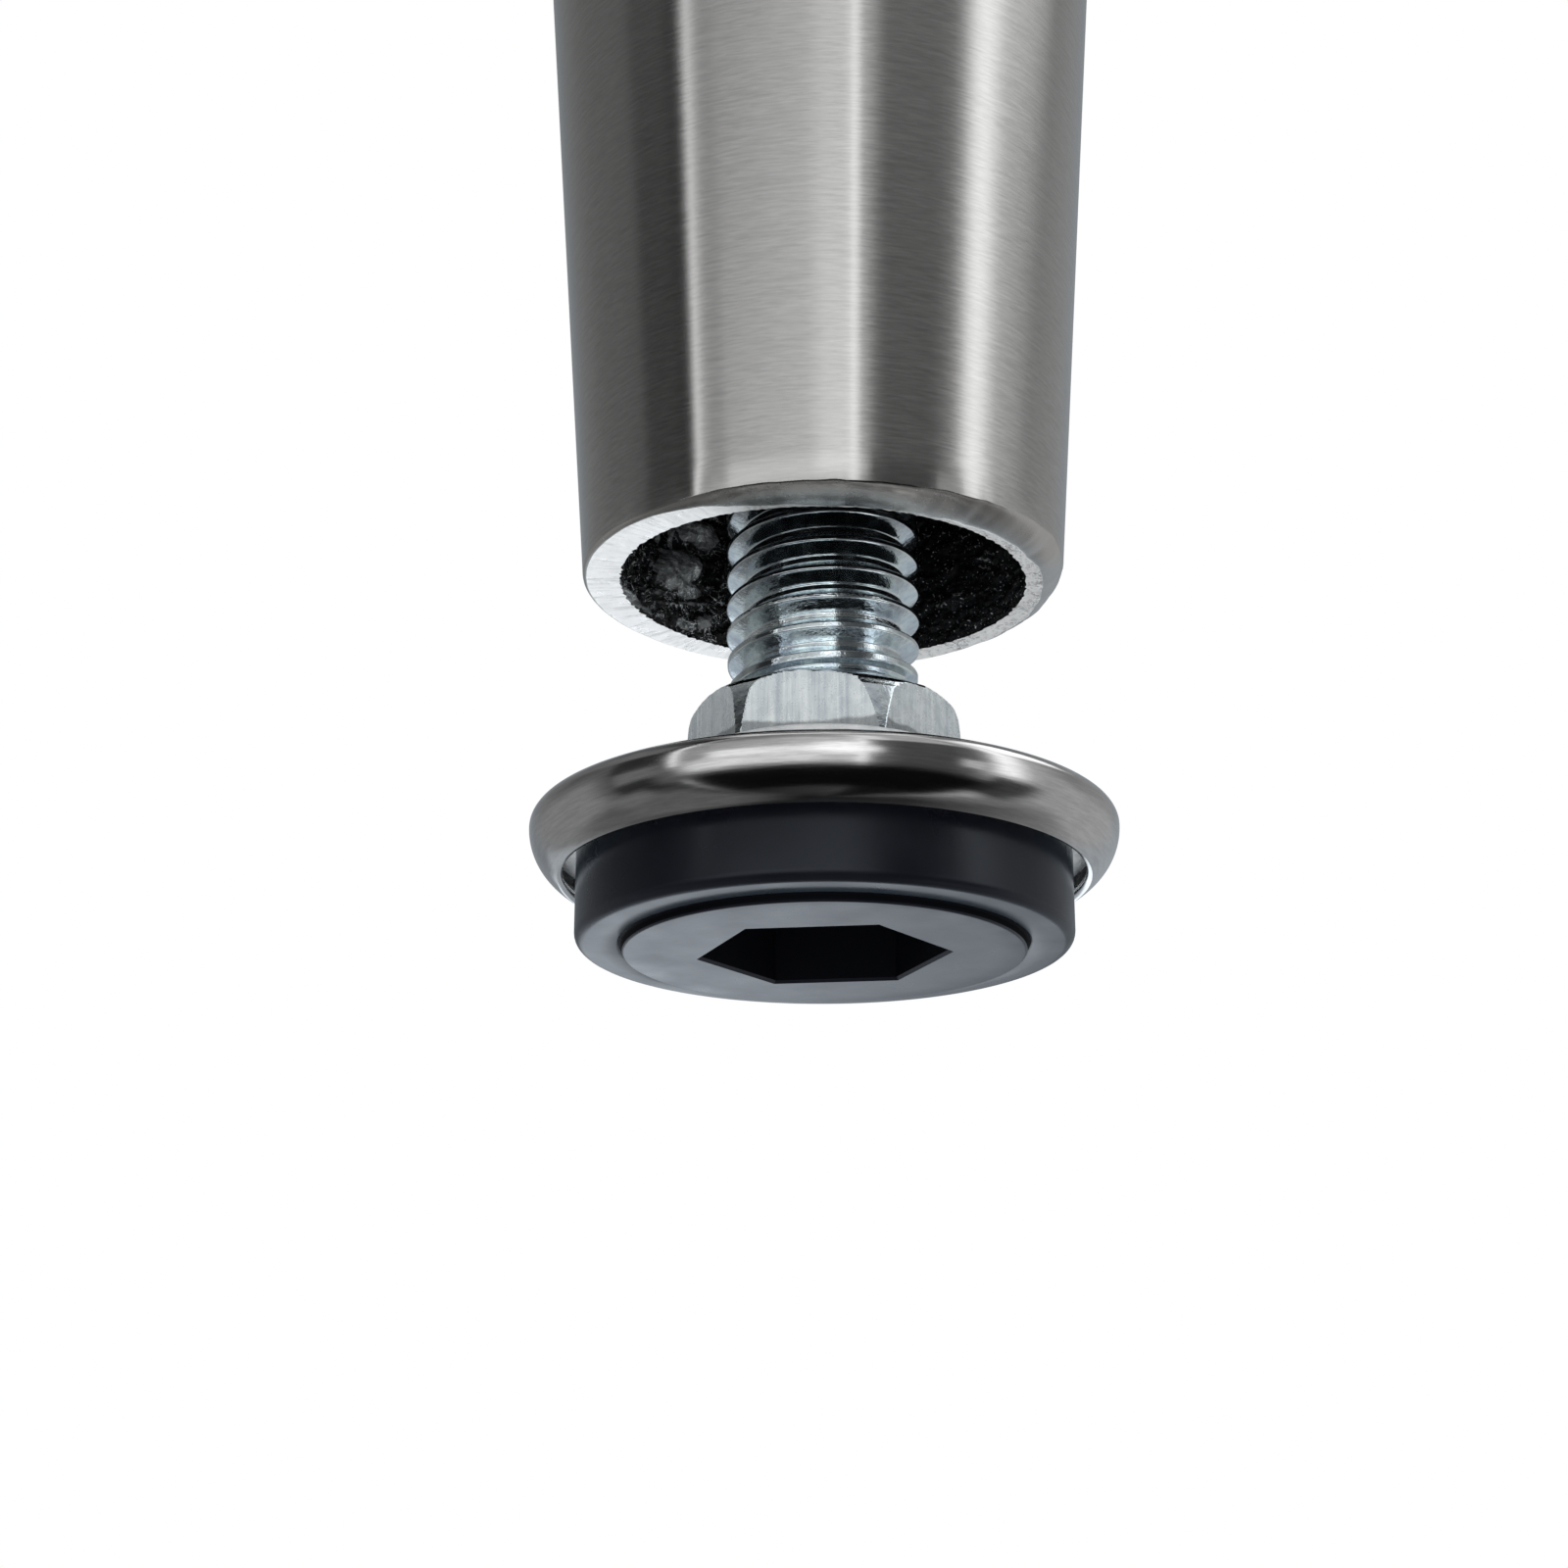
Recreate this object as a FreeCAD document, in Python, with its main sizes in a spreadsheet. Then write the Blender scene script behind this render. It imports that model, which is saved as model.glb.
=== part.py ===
import FreeCAD, Part
import math
import os

import Sketcher

# A tapered steel furniture leg that stands on a levelling foot. The foot is shown screwed out by its
# whole travel. Height is measured from the pad's lowest face, up the leg's axis, in millimetres.

# Driving dimensions, in millimetres and degrees

SIZES = [
    ("pad_radius", 10.0, "outside of the plastic pad"),
    ("pad_height", 4.1, "from the pad's lowest face to the disc"),
    ("tread_radius", 8.1, "raised middle that touches the floor"),
    ("tread_step", 0.3, "how far the tread stands proud"),
    ("pad_rounding", 0.45, "pad's lower outer edge"),
    ("tread_rounding", 0.12, "tread's edge"),
    ("socket_across_flats", 8.7, "hexagonal hole in the pad"),
    ("bar_seat", 0.4, "how deep the bar's end sits in the pad"),
    ("disc_overhang", 0.9, "disc beyond the pad, all round"),
    ("disc_thickness", 1.1, "sheet of the base disc"),
    ("disc_rounding", 0.15, "disc's punched outer edge"),
    ("neck_wall", 0.3, "neck round the hexagon, at its corners"),
    ("neck_height", 2.55, "neck above the disc"),
    ("neck_rounding", 0.2, "neck's upper edge"),
    ("hex_across_flats", 10.0, "hexagon bar of the stud"),
    ("hex_fit", 0.03, "bar in the disc and the pad, each side"),
    ("hex_turn", 53.0, "how far the foot is turned in the leg"),
    ("collar_height", 2.85, "hexagon above the neck"),
    ("collar_bevel_width", 1.1, "bevel inwards from the corners"),
    ("collar_bevel_drop", 0.6, "bevel downwards at the corners"),
    ("stud_radius", 4.0, "outside of the M8 thread"),
    ("stud_overrun", 1.0, "stud above the nut"),
    ("stud_bevel", 0.8, "bevel at the stud's upper end"),
    ("cap_thickness", 0.4, "sheet of the cap"),
    ("cap_hole_gap", 0.1, "cap's hole round the neck"),
    ("centre_land", 0.7, "level ring round the cap's hole"),
    ("centre_rise", 0.9, "raised centre of the cap"),
    ("centre_gap", 0.5, "raised centre inside the tube's mouth"),
    ("bend_radius", 0.5, "bends of the raised centre"),
    ("shoulder_roll", 0.6, "upper roll of the cap's edge"),
    ("curl_gap", 0.6, "cap's wall round the disc"),
    ("curl_drop", 1.4, "lower roll below the disc"),
    ("curl_angle", 60.0, "how far the edge curls in"),
    ("travel", 10.0, "how far the foot screws in and out"),
    ("closing_gap", 0.35, "cap to rim with the foot screwed in"),
    ("tube_foot_radius", 10.0, "outside of the tube at its rim"),
    ("tube_top_radius", 20.0, "outside of the tube at its top"),
    ("tube_length", 141.05, "from the rim to the plate"),
    ("tube_wall", 1.4, "wall of the tube"),
    ("rim_rounding", 0.5, "rim's outer edge"),
    ("rim_burr", 0.15, "rim's inner edge"),
    ("head_room", 3.5, "carrier above the collar, foot screwed in"),
    ("carrier_thickness", 2.5, "plate that carries the nut"),
    ("carrier_gap", 0.02, "carrier in the tube"),
    ("carrier_hole_gap", 0.4, "carrier's hole round the stud"),
    ("nut_across_flats", 13.0, "M8 nut"),
    ("nut_height", 6.5, "M8 nut"),
    ("nut_bevel_width", 0.95, "nut's bevel inwards from its corners"),
    ("nut_bevel_drop", 0.55, "nut's bevel downwards at its corners"),
    ("thread_gap", 0.05, "stud in the nut"),
    ("plate_radius", 33.0, "mounting plate"),
    ("plate_thickness", 3.0, "mounting plate"),
    ("plate_rounding", 0.8, "plate's outer edges"),
    ("weld_leg", 1.5, "weld bead between the tube and the plate"),
    ("screw_count", 4, "screw holes in the plate"),
    ("screw_circle_radius", 27.0, "circle of the screw holes"),
    ("screw_hole_radius", 2.5, "screw holes"),
    ("screw_sink_radius", 4.2, "countersink, on the plate's underside"),
]

doc = FreeCAD.newDocument("furniture_leg")
sheet = doc.addObject("Spreadsheet::Sheet", "sizes")
for row, (alias, number, meaning) in enumerate(SIZES, start=1):
    sheet.set(f"A{row}", meaning)
    sheet.set(f"B{row}", str(number))
    sheet.setAlias(f"B{row}", alias)
doc.recompute()

# Radii and heights that follow from the driving dimensions

DISC_RADIUS = "(sizes.pad_radius + sizes.disc_overhang)"
HEX_CORNER = "(sizes.hex_across_flats / sqrt(3))"
NUT_CORNER = "(sizes.nut_across_flats / sqrt(3))"
NECK_RADIUS = f"({HEX_CORNER} + sizes.neck_wall)"
CAP_RADIUS = f"({DISC_RADIUS} + sizes.curl_gap + sizes.cap_thickness)"
MOUTH_RADIUS = "(sizes.tube_foot_radius - sizes.tube_wall)"
TAPER = "((sizes.tube_top_radius - sizes.tube_foot_radius) / sizes.tube_length)"

BAR_FOOT = "(sizes.pad_height - sizes.bar_seat)"
DISC_TOP = "(sizes.pad_height + sizes.disc_thickness)"
CAP_TOP = f"({DISC_TOP} + sizes.cap_thickness)"
COLLAR_TOP = f"({DISC_TOP} + sizes.neck_height + sizes.collar_height)"
RIM = f"({CAP_TOP} + sizes.travel + sizes.closing_gap)"
CARRIER_SEAT = f"({COLLAR_TOP} + sizes.travel + sizes.head_room)"
NUT_SEAT = f"({CARRIER_SEAT} + sizes.carrier_thickness)"
STUD_TOP = f"({NUT_SEAT} + sizes.nut_height + sizes.stud_overrun)"
PLATE_SEAT = f"({RIM} + sizes.tube_length)"

NEAR = 0.001
CUT_REACH = 1.1
HOLE_AXIS_SIDE = "Edge5"


def value_of(expression):
    """Give the number that an expression has."""
    result = sheet.evalExpression(expression)
    return float(getattr(result, "Value", result))


# Helpers for bodies, sketches and features

def new_body(label, height="0", turn=None):
    """Start a body whose own zero lies at a height, turned about the axis if it turns with the foot."""
    body = doc.addObject("PartDesign::Body", label)
    body.Label = label
    if turn:
        turned = FreeCAD.Rotation(FreeCAD.Vector(0, 0, 1), value_of(turn))
        body.Placement = FreeCAD.Placement(FreeCAD.Vector(), turned)
        body.setExpression("Placement.Rotation.Angle", turn)
    body.setExpression("Placement.Base.z", height)
    return body


def new_sketch(body, name, role, lift=None):
    """Attach a sketch to one of the body's own planes, lifted off it if asked."""
    sketch = body.newObject("Sketcher::SketchObject", name)
    plane = next(item for item in body.Origin.OriginFeatures if item.Role == role)
    sketch.AttachmentSupport = (plane, [""])
    sketch.MapMode = "FlatFace"
    if lift:
        sketch.setExpression("AttachmentOffset.Base.z", lift)
    return sketch


def pin_point(sketch, geometry, end, across, up):
    """Hold one end of a sketch line or arc at a distance across and up from the sketch's origin."""
    for kind, axis, expression in (("DistanceX", -2, across), ("DistanceY", -1, up)):
        if expression == "0":
            sketch.addConstraint(Sketcher.Constraint("PointOnObject", geometry, end, axis))
        else:
            size = value_of(expression)
            number = sketch.addConstraint(Sketcher.Constraint(kind, -1, 1, geometry, end, size))
            sketch.setExpression(f"Constraints[{number}]", expression)


def draw_outline(sketch, corners, rolls=None):
    """Draw a closed outline through corners, with arcs on the sides that rolls gives a centre for."""
    rolls = rolls or {}
    places = [FreeCAD.Vector(value_of(across), value_of(up), 0) for across, up in corners]
    ends = []
    for side, start in enumerate(places):
        finish = places[(side + 1) % len(places)]
        if side not in rolls:
            geometry = sketch.addGeometry(Part.LineSegment(start, finish), False)
            ends.append((geometry, 1, 2))
            continue
        across, up, radius = rolls[side]
        centre = FreeCAD.Vector(value_of(across), value_of(up), 0)
        angles = [math.atan2(place.y - centre.y, place.x - centre.x) for place in (start, finish)]
        anticlockwise = (start - centre).cross(finish - centre).z > 0
        circle = Part.Circle(centre, FreeCAD.Vector(0, 0, 1), value_of(radius))
        first, last = angles if anticlockwise else reversed(angles)
        geometry = sketch.addGeometry(Part.ArcOfCircle(circle, first, last), False)
        ends.append((geometry, 1, 2) if anticlockwise else (geometry, 2, 1))
        number = sketch.addConstraint(Sketcher.Constraint("Radius", geometry, value_of(radius)))
        sketch.setExpression(f"Constraints[{number}]", radius)
    for side, (geometry, begin, _) in enumerate(ends):
        previous, _, finish = ends[side - 1]
        sketch.addConstraint(Sketcher.Constraint("Coincident", previous, finish, geometry, begin))
        pin_point(sketch, geometry, begin, *corners[side])


def draw_circle(sketch, radius):
    """Draw a circle about the sketch's origin."""
    circle = Part.Circle(FreeCAD.Vector(), FreeCAD.Vector(0, 0, 1), value_of(radius))
    geometry = sketch.addGeometry(circle, False)
    sketch.addConstraint(Sketcher.Constraint("Coincident", geometry, 3, -1, 1))
    number = sketch.addConstraint(Sketcher.Constraint("Radius", geometry, value_of(radius)))
    sketch.setExpression(f"Constraints[{number}]", radius)


def draw_hexagon(sketch, across_flats):
    """Draw a regular hexagon about the sketch's origin, with one corner on its level axis."""
    radius = f"({across_flats} / sqrt(3))"
    reach = value_of(radius)
    corners = [FreeCAD.Vector(reach * math.cos(math.radians(turn)), reach * math.sin(math.radians(turn)), 0)
               for turn in range(0, 360, 60)]
    sides = [sketch.addGeometry(Part.LineSegment(corners[side], corners[(side + 1) % 6]), False)
             for side in range(6)]
    circle = sketch.addGeometry(Part.Circle(FreeCAD.Vector(), FreeCAD.Vector(0, 0, 1), reach), True)
    sketch.addConstraint(Sketcher.Constraint("Coincident", circle, 3, -1, 1))
    for side in range(6):
        sketch.addConstraint(Sketcher.Constraint("Coincident", sides[side - 1], 2, sides[side], 1))
        sketch.addConstraint(Sketcher.Constraint("PointOnObject", sides[side], 1, circle))
    for side in range(1, 6):
        sketch.addConstraint(Sketcher.Constraint("Equal", sides[0], sides[side]))
    sketch.addConstraint(Sketcher.Constraint("PointOnObject", sides[0], 1, -1))
    number = sketch.addConstraint(Sketcher.Constraint("Radius", circle, reach))
    sketch.setExpression(f"Constraints[{number}]", radius)


def turn_profile(body, name, corners, rolls=None, cut=False):
    """Turn a profile of radii and heights about the body's axis, as a solid or as a cut."""
    sketch = new_sketch(body, name + "_profile", "XZ_Plane")
    draw_outline(sketch, corners, rolls)
    feature = body.newObject("PartDesign::Groove" if cut else "PartDesign::Revolution", name)
    feature.Profile = sketch
    feature.ReferenceAxis = (sketch, ["V_Axis"])
    feature.Angle = 360
    doc.recompute()
    return feature


def raise_shape(body, name, draw, size, height, lift=None):
    """Pad a circle or a hexagon upwards."""
    sketch = new_sketch(body, name + "_outline", "XY_Plane", lift)
    draw(sketch, size)
    feature = body.newObject("PartDesign::Pad", name)
    feature.Profile = sketch
    feature.setExpression("Length", height)
    doc.recompute()
    return feature


def cut_shape(body, name, draw, size, depth, lift=None):
    """Pocket a circle or a hexagon upwards, and make sure that it takes material away."""
    before = body.Tip.Shape.Volume
    sketch = new_sketch(body, name + "_outline", "XY_Plane", lift)
    draw(sketch, size)
    feature = body.newObject("PartDesign::Pocket", name)
    feature.Profile = sketch
    feature.Reversed = True
    feature.setExpression("Length", depth)
    doc.recompute()
    if feature.Shape.Volume > before - NEAR:
        raise ValueError(f"{body.Label}: {name} cuts nothing")
    return feature


def edges_at(feature, radius, height):
    """Name a feature's circular edges about the axis at a radius and a height."""
    names = []
    for number, edge in enumerate(feature.Shape.Edges, start=1):
        curve = edge.Curve
        if not isinstance(curve, Part.Circle):
            continue
        off_axis = math.hypot(curve.Center.x, curve.Center.y)
        off_size = abs(curve.Radius - value_of(radius)) + abs(curve.Center.z - value_of(height))
        if off_axis + off_size < NEAR:
            names.append(f"Edge{number}")
    if not names:
        raise ValueError(f"{feature.Label}: no edge at radius {radius}, height {height}")
    return names


def soften(body, name, places, size, kind="Fillet"):
    """Round or bevel the circular edges at pairs of radius and height."""
    base = body.Tip
    feature = body.newObject("PartDesign::" + kind, name)
    feature.Base = (base, [edge for place in places for edge in edges_at(base, *place)])
    feature.setExpression("Radius" if kind == "Fillet" else "Size", size)
    doc.recompute()
    return feature


# Foot: pad, disc, stud and cap

def make_foot_pad():
    """Plastic pad: a stepped disc with a hexagonal socket right through it."""
    body = new_body("foot_pad", turn="sizes.hex_turn")
    turn_profile(body, "pad_disc", [
        ("0", "0"),
        ("sizes.tread_radius", "0"),
        ("sizes.tread_radius", "sizes.tread_step"),
        ("sizes.pad_radius", "sizes.tread_step"),
        ("sizes.pad_radius", "sizes.pad_height"),
        ("0", "sizes.pad_height"),
    ])
    soften(body, "pad_edge", [("sizes.pad_radius", "sizes.tread_step")], "sizes.pad_rounding")
    soften(body, "tread_edge", [("sizes.tread_radius", "0")], "sizes.tread_rounding")
    cut_shape(body, "pad_socket", draw_hexagon, "sizes.socket_across_flats", "sizes.pad_height")
    seat_width = "(sizes.hex_across_flats + 2 * sizes.hex_fit)"
    cut_shape(body, "bar_seat", draw_hexagon, seat_width, "sizes.bar_seat", lift=BAR_FOOT)
    return body


def make_base_disc():
    """Zinc-plated disc on the pad, with a neck drawn up round the hexagon bar."""
    body = new_body("base_disc", "sizes.pad_height", turn="sizes.hex_turn")
    neck_top = "(sizes.disc_thickness + sizes.neck_height)"
    turn_profile(body, "disc", [
        ("0", "0"),
        (DISC_RADIUS, "0"),
        (DISC_RADIUS, "sizes.disc_thickness"),
        (NECK_RADIUS, "sizes.disc_thickness"),
        (NECK_RADIUS, neck_top),
        ("0", neck_top),
    ])
    soften(body, "disc_edge", [(DISC_RADIUS, "0"), (DISC_RADIUS, "sizes.disc_thickness")],
           "sizes.disc_rounding")
    soften(body, "neck_edge", [(NECK_RADIUS, neck_top)], "sizes.neck_rounding")
    bar_hole = "(sizes.hex_across_flats + 2 * sizes.hex_fit)"
    cut_shape(body, "bar_hole", draw_hexagon, bar_hole, neck_top)
    return body


def make_adjusting_stud():
    """Hexagon bar with a bevelled collar for a spanner, and the M8 stud above it."""
    body = new_body("adjusting_stud", BAR_FOOT, turn="sizes.hex_turn")
    bar_top = f"({COLLAR_TOP} - {BAR_FOOT})"
    stud_end = f"({STUD_TOP} - {BAR_FOOT})"
    raise_shape(body, "hexagon_bar", draw_hexagon, "sizes.hex_across_flats", bar_top)
    bevel_start = f"({HEX_CORNER} - sizes.collar_bevel_width)"
    bevel_end = f"({bar_top} - sizes.collar_bevel_drop)"
    bevel_cut(body, "collar_bevel", HEX_CORNER, bevel_start, bar_top, bevel_end)
    raise_shape(body, "stud", draw_circle, "sizes.stud_radius", f"({stud_end} - {bar_top})", lift=bar_top)
    soften(body, "stud_end", [("sizes.stud_radius", stud_end)], "sizes.stud_bevel", "Chamfer")
    return body


def bevel_cut(body, name, corner, inner, level, corner_level):
    """Turn a bevel on a hexagon: from a radius on its flat face to a height on its corners."""
    outside = f"({corner} * {CUT_REACH})"
    turn_profile(body, name, [(inner, level), (corner, corner_level), (outside, corner_level),
                              (outside, level)], cut=True)


def make_foot_cap():
    """Pressed cap: a raised centre round the neck and an edge that curls in under the disc."""
    body = new_body("foot_cap", DISC_TOP)
    hole = f"({NECK_RADIUS} + sizes.cap_hole_gap)"
    land = f"({hole} + sizes.centre_land)"
    slope_foot = f"({MOUTH_RADIUS} - sizes.centre_gap)"
    top = "sizes.cap_thickness"
    rise = "sizes.centre_rise"
    raised = f"({rise} + {top})"
    shoulder = f"({CAP_RADIUS} - sizes.shoulder_roll)"
    equator = f"({top} - sizes.shoulder_roll)"
    inner_wall = f"({CAP_RADIUS} - {top})"
    lower_roll = f"({equator} + sizes.disc_thickness + sizes.curl_drop)"
    curl_centre = f"({CAP_RADIUS} - {lower_roll})"
    inner_roll = f"({lower_roll} - {top})"
    lip = [(f"({curl_centre} + {radius} * cos(sizes.curl_angle))",
            f"({equator} - {radius} * sin(sizes.curl_angle))") for radius in (lower_roll, inner_roll)]
    turn_profile(body, "cap_sheet", [
        (hole, raised),
        (land, raised),
        (slope_foot, top),
        (shoulder, top),
        (CAP_RADIUS, equator),
        lip[0],
        lip[1],
        (inner_wall, equator),
        (shoulder, "0"),
        (slope_foot, "0"),
        (land, rise),
        (hole, rise),
    ], rolls={
        3: (shoulder, equator, "sizes.shoulder_roll"),
        4: (curl_centre, equator, lower_roll),
        6: (curl_centre, equator, inner_roll),
        7: (shoulder, equator, f"(sizes.shoulder_roll - {top})"),
    })
    bends = [(land, raised), (slope_foot, top), (land, rise), (slope_foot, "0")]
    soften(body, "bends", bends, "sizes.bend_radius")
    return body


# Leg: tube, plate, carrier and nut

def make_leg_tube():
    """Tapered tube, cut square at both ends, its outer rim rounded over."""
    body = new_body("leg_tube", RIM)
    turn_profile(body, "cone", [
        (MOUTH_RADIUS, "0"),
        ("sizes.tube_foot_radius", "0"),
        ("sizes.tube_top_radius", "sizes.tube_length"),
        ("(sizes.tube_top_radius - sizes.tube_wall)", "sizes.tube_length"),
    ])
    soften(body, "rim_outside", [("sizes.tube_foot_radius", "0")], "sizes.rim_rounding")
    soften(body, "rim_inside", [(MOUTH_RADIUS, "0")], "sizes.rim_burr")
    return body


def make_nut_carrier():
    """Round plate welded inside the tube, its edge on the tube's taper."""
    body = new_body("nut_carrier", CARRIER_SEAT)
    fit = f"({MOUTH_RADIUS} + {TAPER} * ({CARRIER_SEAT} - {RIM}) - sizes.carrier_gap)"
    fit_above = f"({fit} + {TAPER} * sizes.carrier_thickness)"
    hole = "(sizes.stud_radius + sizes.carrier_hole_gap)"
    turn_profile(body, "carrier_plate", [
        (hole, "0"),
        (fit, "0"),
        (fit_above, "sizes.carrier_thickness"),
        (hole, "sizes.carrier_thickness"),
    ])
    return body


def make_weld_nut():
    """M8 nut on the carrier, bevelled on both faces."""
    body = new_body("weld_nut", NUT_SEAT)
    height = "sizes.nut_height"
    raise_shape(body, "nut_hexagon", draw_hexagon, "sizes.nut_across_flats", height)
    bevel_start = f"({NUT_CORNER} - sizes.nut_bevel_width)"
    bevel_cut(body, "nut_top", NUT_CORNER, bevel_start, height, f"({height} - sizes.nut_bevel_drop)")
    bevel_cut(body, "nut_base", NUT_CORNER, bevel_start, "0", "sizes.nut_bevel_drop")
    cut_shape(body, "nut_bore", draw_circle, "(sizes.stud_radius + sizes.thread_gap)", height)
    return body


def make_mounting_plate():
    """Round plate on the tube's top, with its weld bead and countersunk screw holes."""
    body = new_body("mounting_plate", PLATE_SEAT)
    raise_shape(body, "plate", draw_circle, "sizes.plate_radius", "sizes.plate_thickness")
    turn_profile(body, "weld_bead", [
        ("sizes.tube_top_radius", "0"),
        (f"(sizes.tube_top_radius - {TAPER} * sizes.weld_leg)", "(-sizes.weld_leg)"),
        ("(sizes.tube_top_radius + sizes.weld_leg)", "0"),
    ])
    plate_edges = [("sizes.plate_radius", "0"), ("sizes.plate_radius", "sizes.plate_thickness")]
    soften(body, "plate_edges", plate_edges, "sizes.plate_rounding")
    before = body.Tip.Shape.Volume
    circle = "sizes.screw_circle_radius"
    sink_depth = "(sizes.screw_sink_radius - sizes.screw_hole_radius)"
    sketch = new_sketch(body, "screw_hole_profile", "XZ_Plane")
    draw_outline(sketch, [
        (circle, "0"),
        (f"({circle} + sizes.screw_sink_radius)", "0"),
        (f"({circle} + sizes.screw_hole_radius)", sink_depth),
        (f"({circle} + sizes.screw_hole_radius)", "sizes.plate_thickness"),
        (circle, "sizes.plate_thickness"),
    ])
    hole = body.newObject("PartDesign::Groove", "screw_hole")
    hole.Profile = sketch
    hole.ReferenceAxis = (sketch, [HOLE_AXIS_SIDE])
    hole.Angle = 360
    doc.recompute()
    pattern = body.newObject("PartDesign::PolarPattern", "screw_holes")
    pattern.Originals = [hole]
    pattern.Axis = (next(item for item in body.Origin.OriginFeatures if item.Role == "Z_Axis"), [""])
    pattern.Angle = 360
    pattern.setExpression("Occurrences", "sizes.screw_count")
    body.Tip = pattern
    doc.recompute()
    if pattern.Shape.Volume > before - NEAR:
        raise ValueError("mounting_plate: the screw holes cut nothing")
    return body


pieces = [
    make_foot_pad(),
    make_base_disc(),
    make_adjusting_stud(),
    make_foot_cap(),
    make_leg_tube(),
    make_nut_carrier(),
    make_weld_nut(),
    make_mounting_plate(),
]
doc.recompute()

# Checks on every object, then one file for each piece

for item in doc.Objects:
    if "Invalid" in item.State or "Error" in item.State:
        raise ValueError(f"{item.Label} failed: {item.State}")
for piece in pieces:
    if piece.Shape.isNull() or not piece.Shape.isValid() or len(piece.Shape.Solids) != 1:
        raise ValueError(f"{piece.Label} is not one valid solid")

os.makedirs("parts", exist_ok=True)
for piece in pieces:
    piece.Shape.exportStep(f"parts/{piece.Label}.step")
    box = piece.Shape.BoundBox
    print(f"{piece.Label}: z {box.ZMin:.2f} to {box.ZMax:.2f}, width {box.XLength:.2f} mm,"
          f" {piece.Shape.Volume:.1f} mm3")
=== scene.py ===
import math

import bmesh
import bpy
from mathutils import Euler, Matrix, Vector, noise


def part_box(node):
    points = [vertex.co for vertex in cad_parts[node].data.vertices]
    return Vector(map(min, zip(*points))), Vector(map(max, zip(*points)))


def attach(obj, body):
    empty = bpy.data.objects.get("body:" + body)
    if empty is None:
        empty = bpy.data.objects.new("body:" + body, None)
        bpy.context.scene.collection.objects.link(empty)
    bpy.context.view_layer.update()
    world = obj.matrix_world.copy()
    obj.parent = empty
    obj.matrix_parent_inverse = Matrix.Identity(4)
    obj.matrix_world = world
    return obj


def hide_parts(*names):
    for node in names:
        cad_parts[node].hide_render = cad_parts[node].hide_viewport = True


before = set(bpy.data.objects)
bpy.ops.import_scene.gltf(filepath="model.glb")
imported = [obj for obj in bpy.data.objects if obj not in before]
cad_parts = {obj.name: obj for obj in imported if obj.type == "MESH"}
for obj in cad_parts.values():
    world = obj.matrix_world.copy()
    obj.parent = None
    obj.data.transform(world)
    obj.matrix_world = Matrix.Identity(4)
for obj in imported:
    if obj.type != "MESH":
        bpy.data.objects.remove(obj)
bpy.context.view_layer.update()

# A tapered steel furniture leg on its levelling foot. All lengths are in metres, and heights are
# measured from the pad's lowest face.

MM = 0.001

# Sizes read from the frame

RIM_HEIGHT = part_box("leg_tube")[0].z
TUBE_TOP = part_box("leg_tube")[1].z
TUBE_TOP_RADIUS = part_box("leg_tube")[1].x
PAD_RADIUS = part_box("foot_pad")[1].x
PAD_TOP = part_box("foot_pad")[1].z
DISC_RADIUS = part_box("base_disc")[1].x
NECK_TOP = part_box("base_disc")[1].z
CAP_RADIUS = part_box("foot_cap")[1].x
CAP_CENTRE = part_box("foot_cap")[1].z
BAR_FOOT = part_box("adjusting_stud")[0].z
STUD_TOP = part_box("adjusting_stud")[1].z
PLATE_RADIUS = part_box("mounting_plate")[1].x
PLATE_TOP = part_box("mounting_plate")[1].z

# Sizes that repeat the solids

TUBE_FOOT_RADIUS = 10.0 * MM
TUBE_WALL = 1.4 * MM
PLATE_THICKNESS = 3.0 * MM
PLATE_ROUNDING = 0.8 * MM
SCREW_COUNT = 4
SCREW_CIRCLE = 27.0 * MM
SCREW_SINK = 4.2 * MM
DISC_THICKNESS = 1.1 * MM
CAP_THICKNESS = 0.4 * MM
SHOULDER_ROLL = 0.6 * MM
CURL_DROP = 1.4 * MM
CURL_ANGLE = math.radians(60)
CENTRE_LAND = 0.7 * MM
CENTRE_GAP = 0.5 * MM
HOLE_GAP = 0.1 * MM
NECK_WALL = 0.3 * MM
BAR_FLATS = 10.0 * MM
BAR_FIT = 0.03 * MM
HEX_TURN = math.radians(53)
COLLAR_TOP = NECK_TOP + 2.85 * MM
STUD_RADIUS = 4.0 * MM
THREAD_PITCH = 1.25 * MM
TREAD_RADIUS = 8.1 * MM
TREAD_STEP = 0.3 * MM
SOCKET_FLATS = 8.7 * MM
PAD_ROUNDING = 0.45 * MM
GROOVE = 0.08 * MM

TURN = 2 * math.pi
SAME_PLACE = 0.0002 * MM


# Helpers for round pieces

def clamp(value):
    """A value held from 0 to 1."""
    return min(1.0, max(0.0, value))


def interpolate(table, value):
    """Read a table of pairs at a value, on straight lines between them."""
    for (low, at_low), (high, at_high) in zip(table, table[1:]):
        if value <= high:
            break
    part = clamp((value - low) / (high - low))
    return at_low + (at_high - at_low) * part


def angle_from(degrees, angle):
    """How far an angle is past one given in degrees, the short way round."""
    return (angle - math.radians(degrees) + math.pi) % TURN - math.pi


def even_angles(count):
    """Angles all the way round, evenly spaced."""
    return [TURN * step / count for step in range(count)]


def hexagon_angles(between=24, near=(-1.4, -0.9, -0.4, 0, 0.4, 0.9, 1.4)):
    """Angles all the way round, closer together near the bar's corners. near gives those, in degrees
    from a corner, and between is how many steps lie in between."""
    near_corner = [math.radians(angle) for angle in near]
    sector = TURN / 6
    gap = (sector - 2 * near_corner[-1]) / between
    angles = []
    for corner in range(6):
        middle = HEX_TURN + corner * sector
        angles += [middle + angle for angle in near_corner]
        angles += [middle + near_corner[-1] + gap * step for step in range(1, between)]
    return angles


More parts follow.
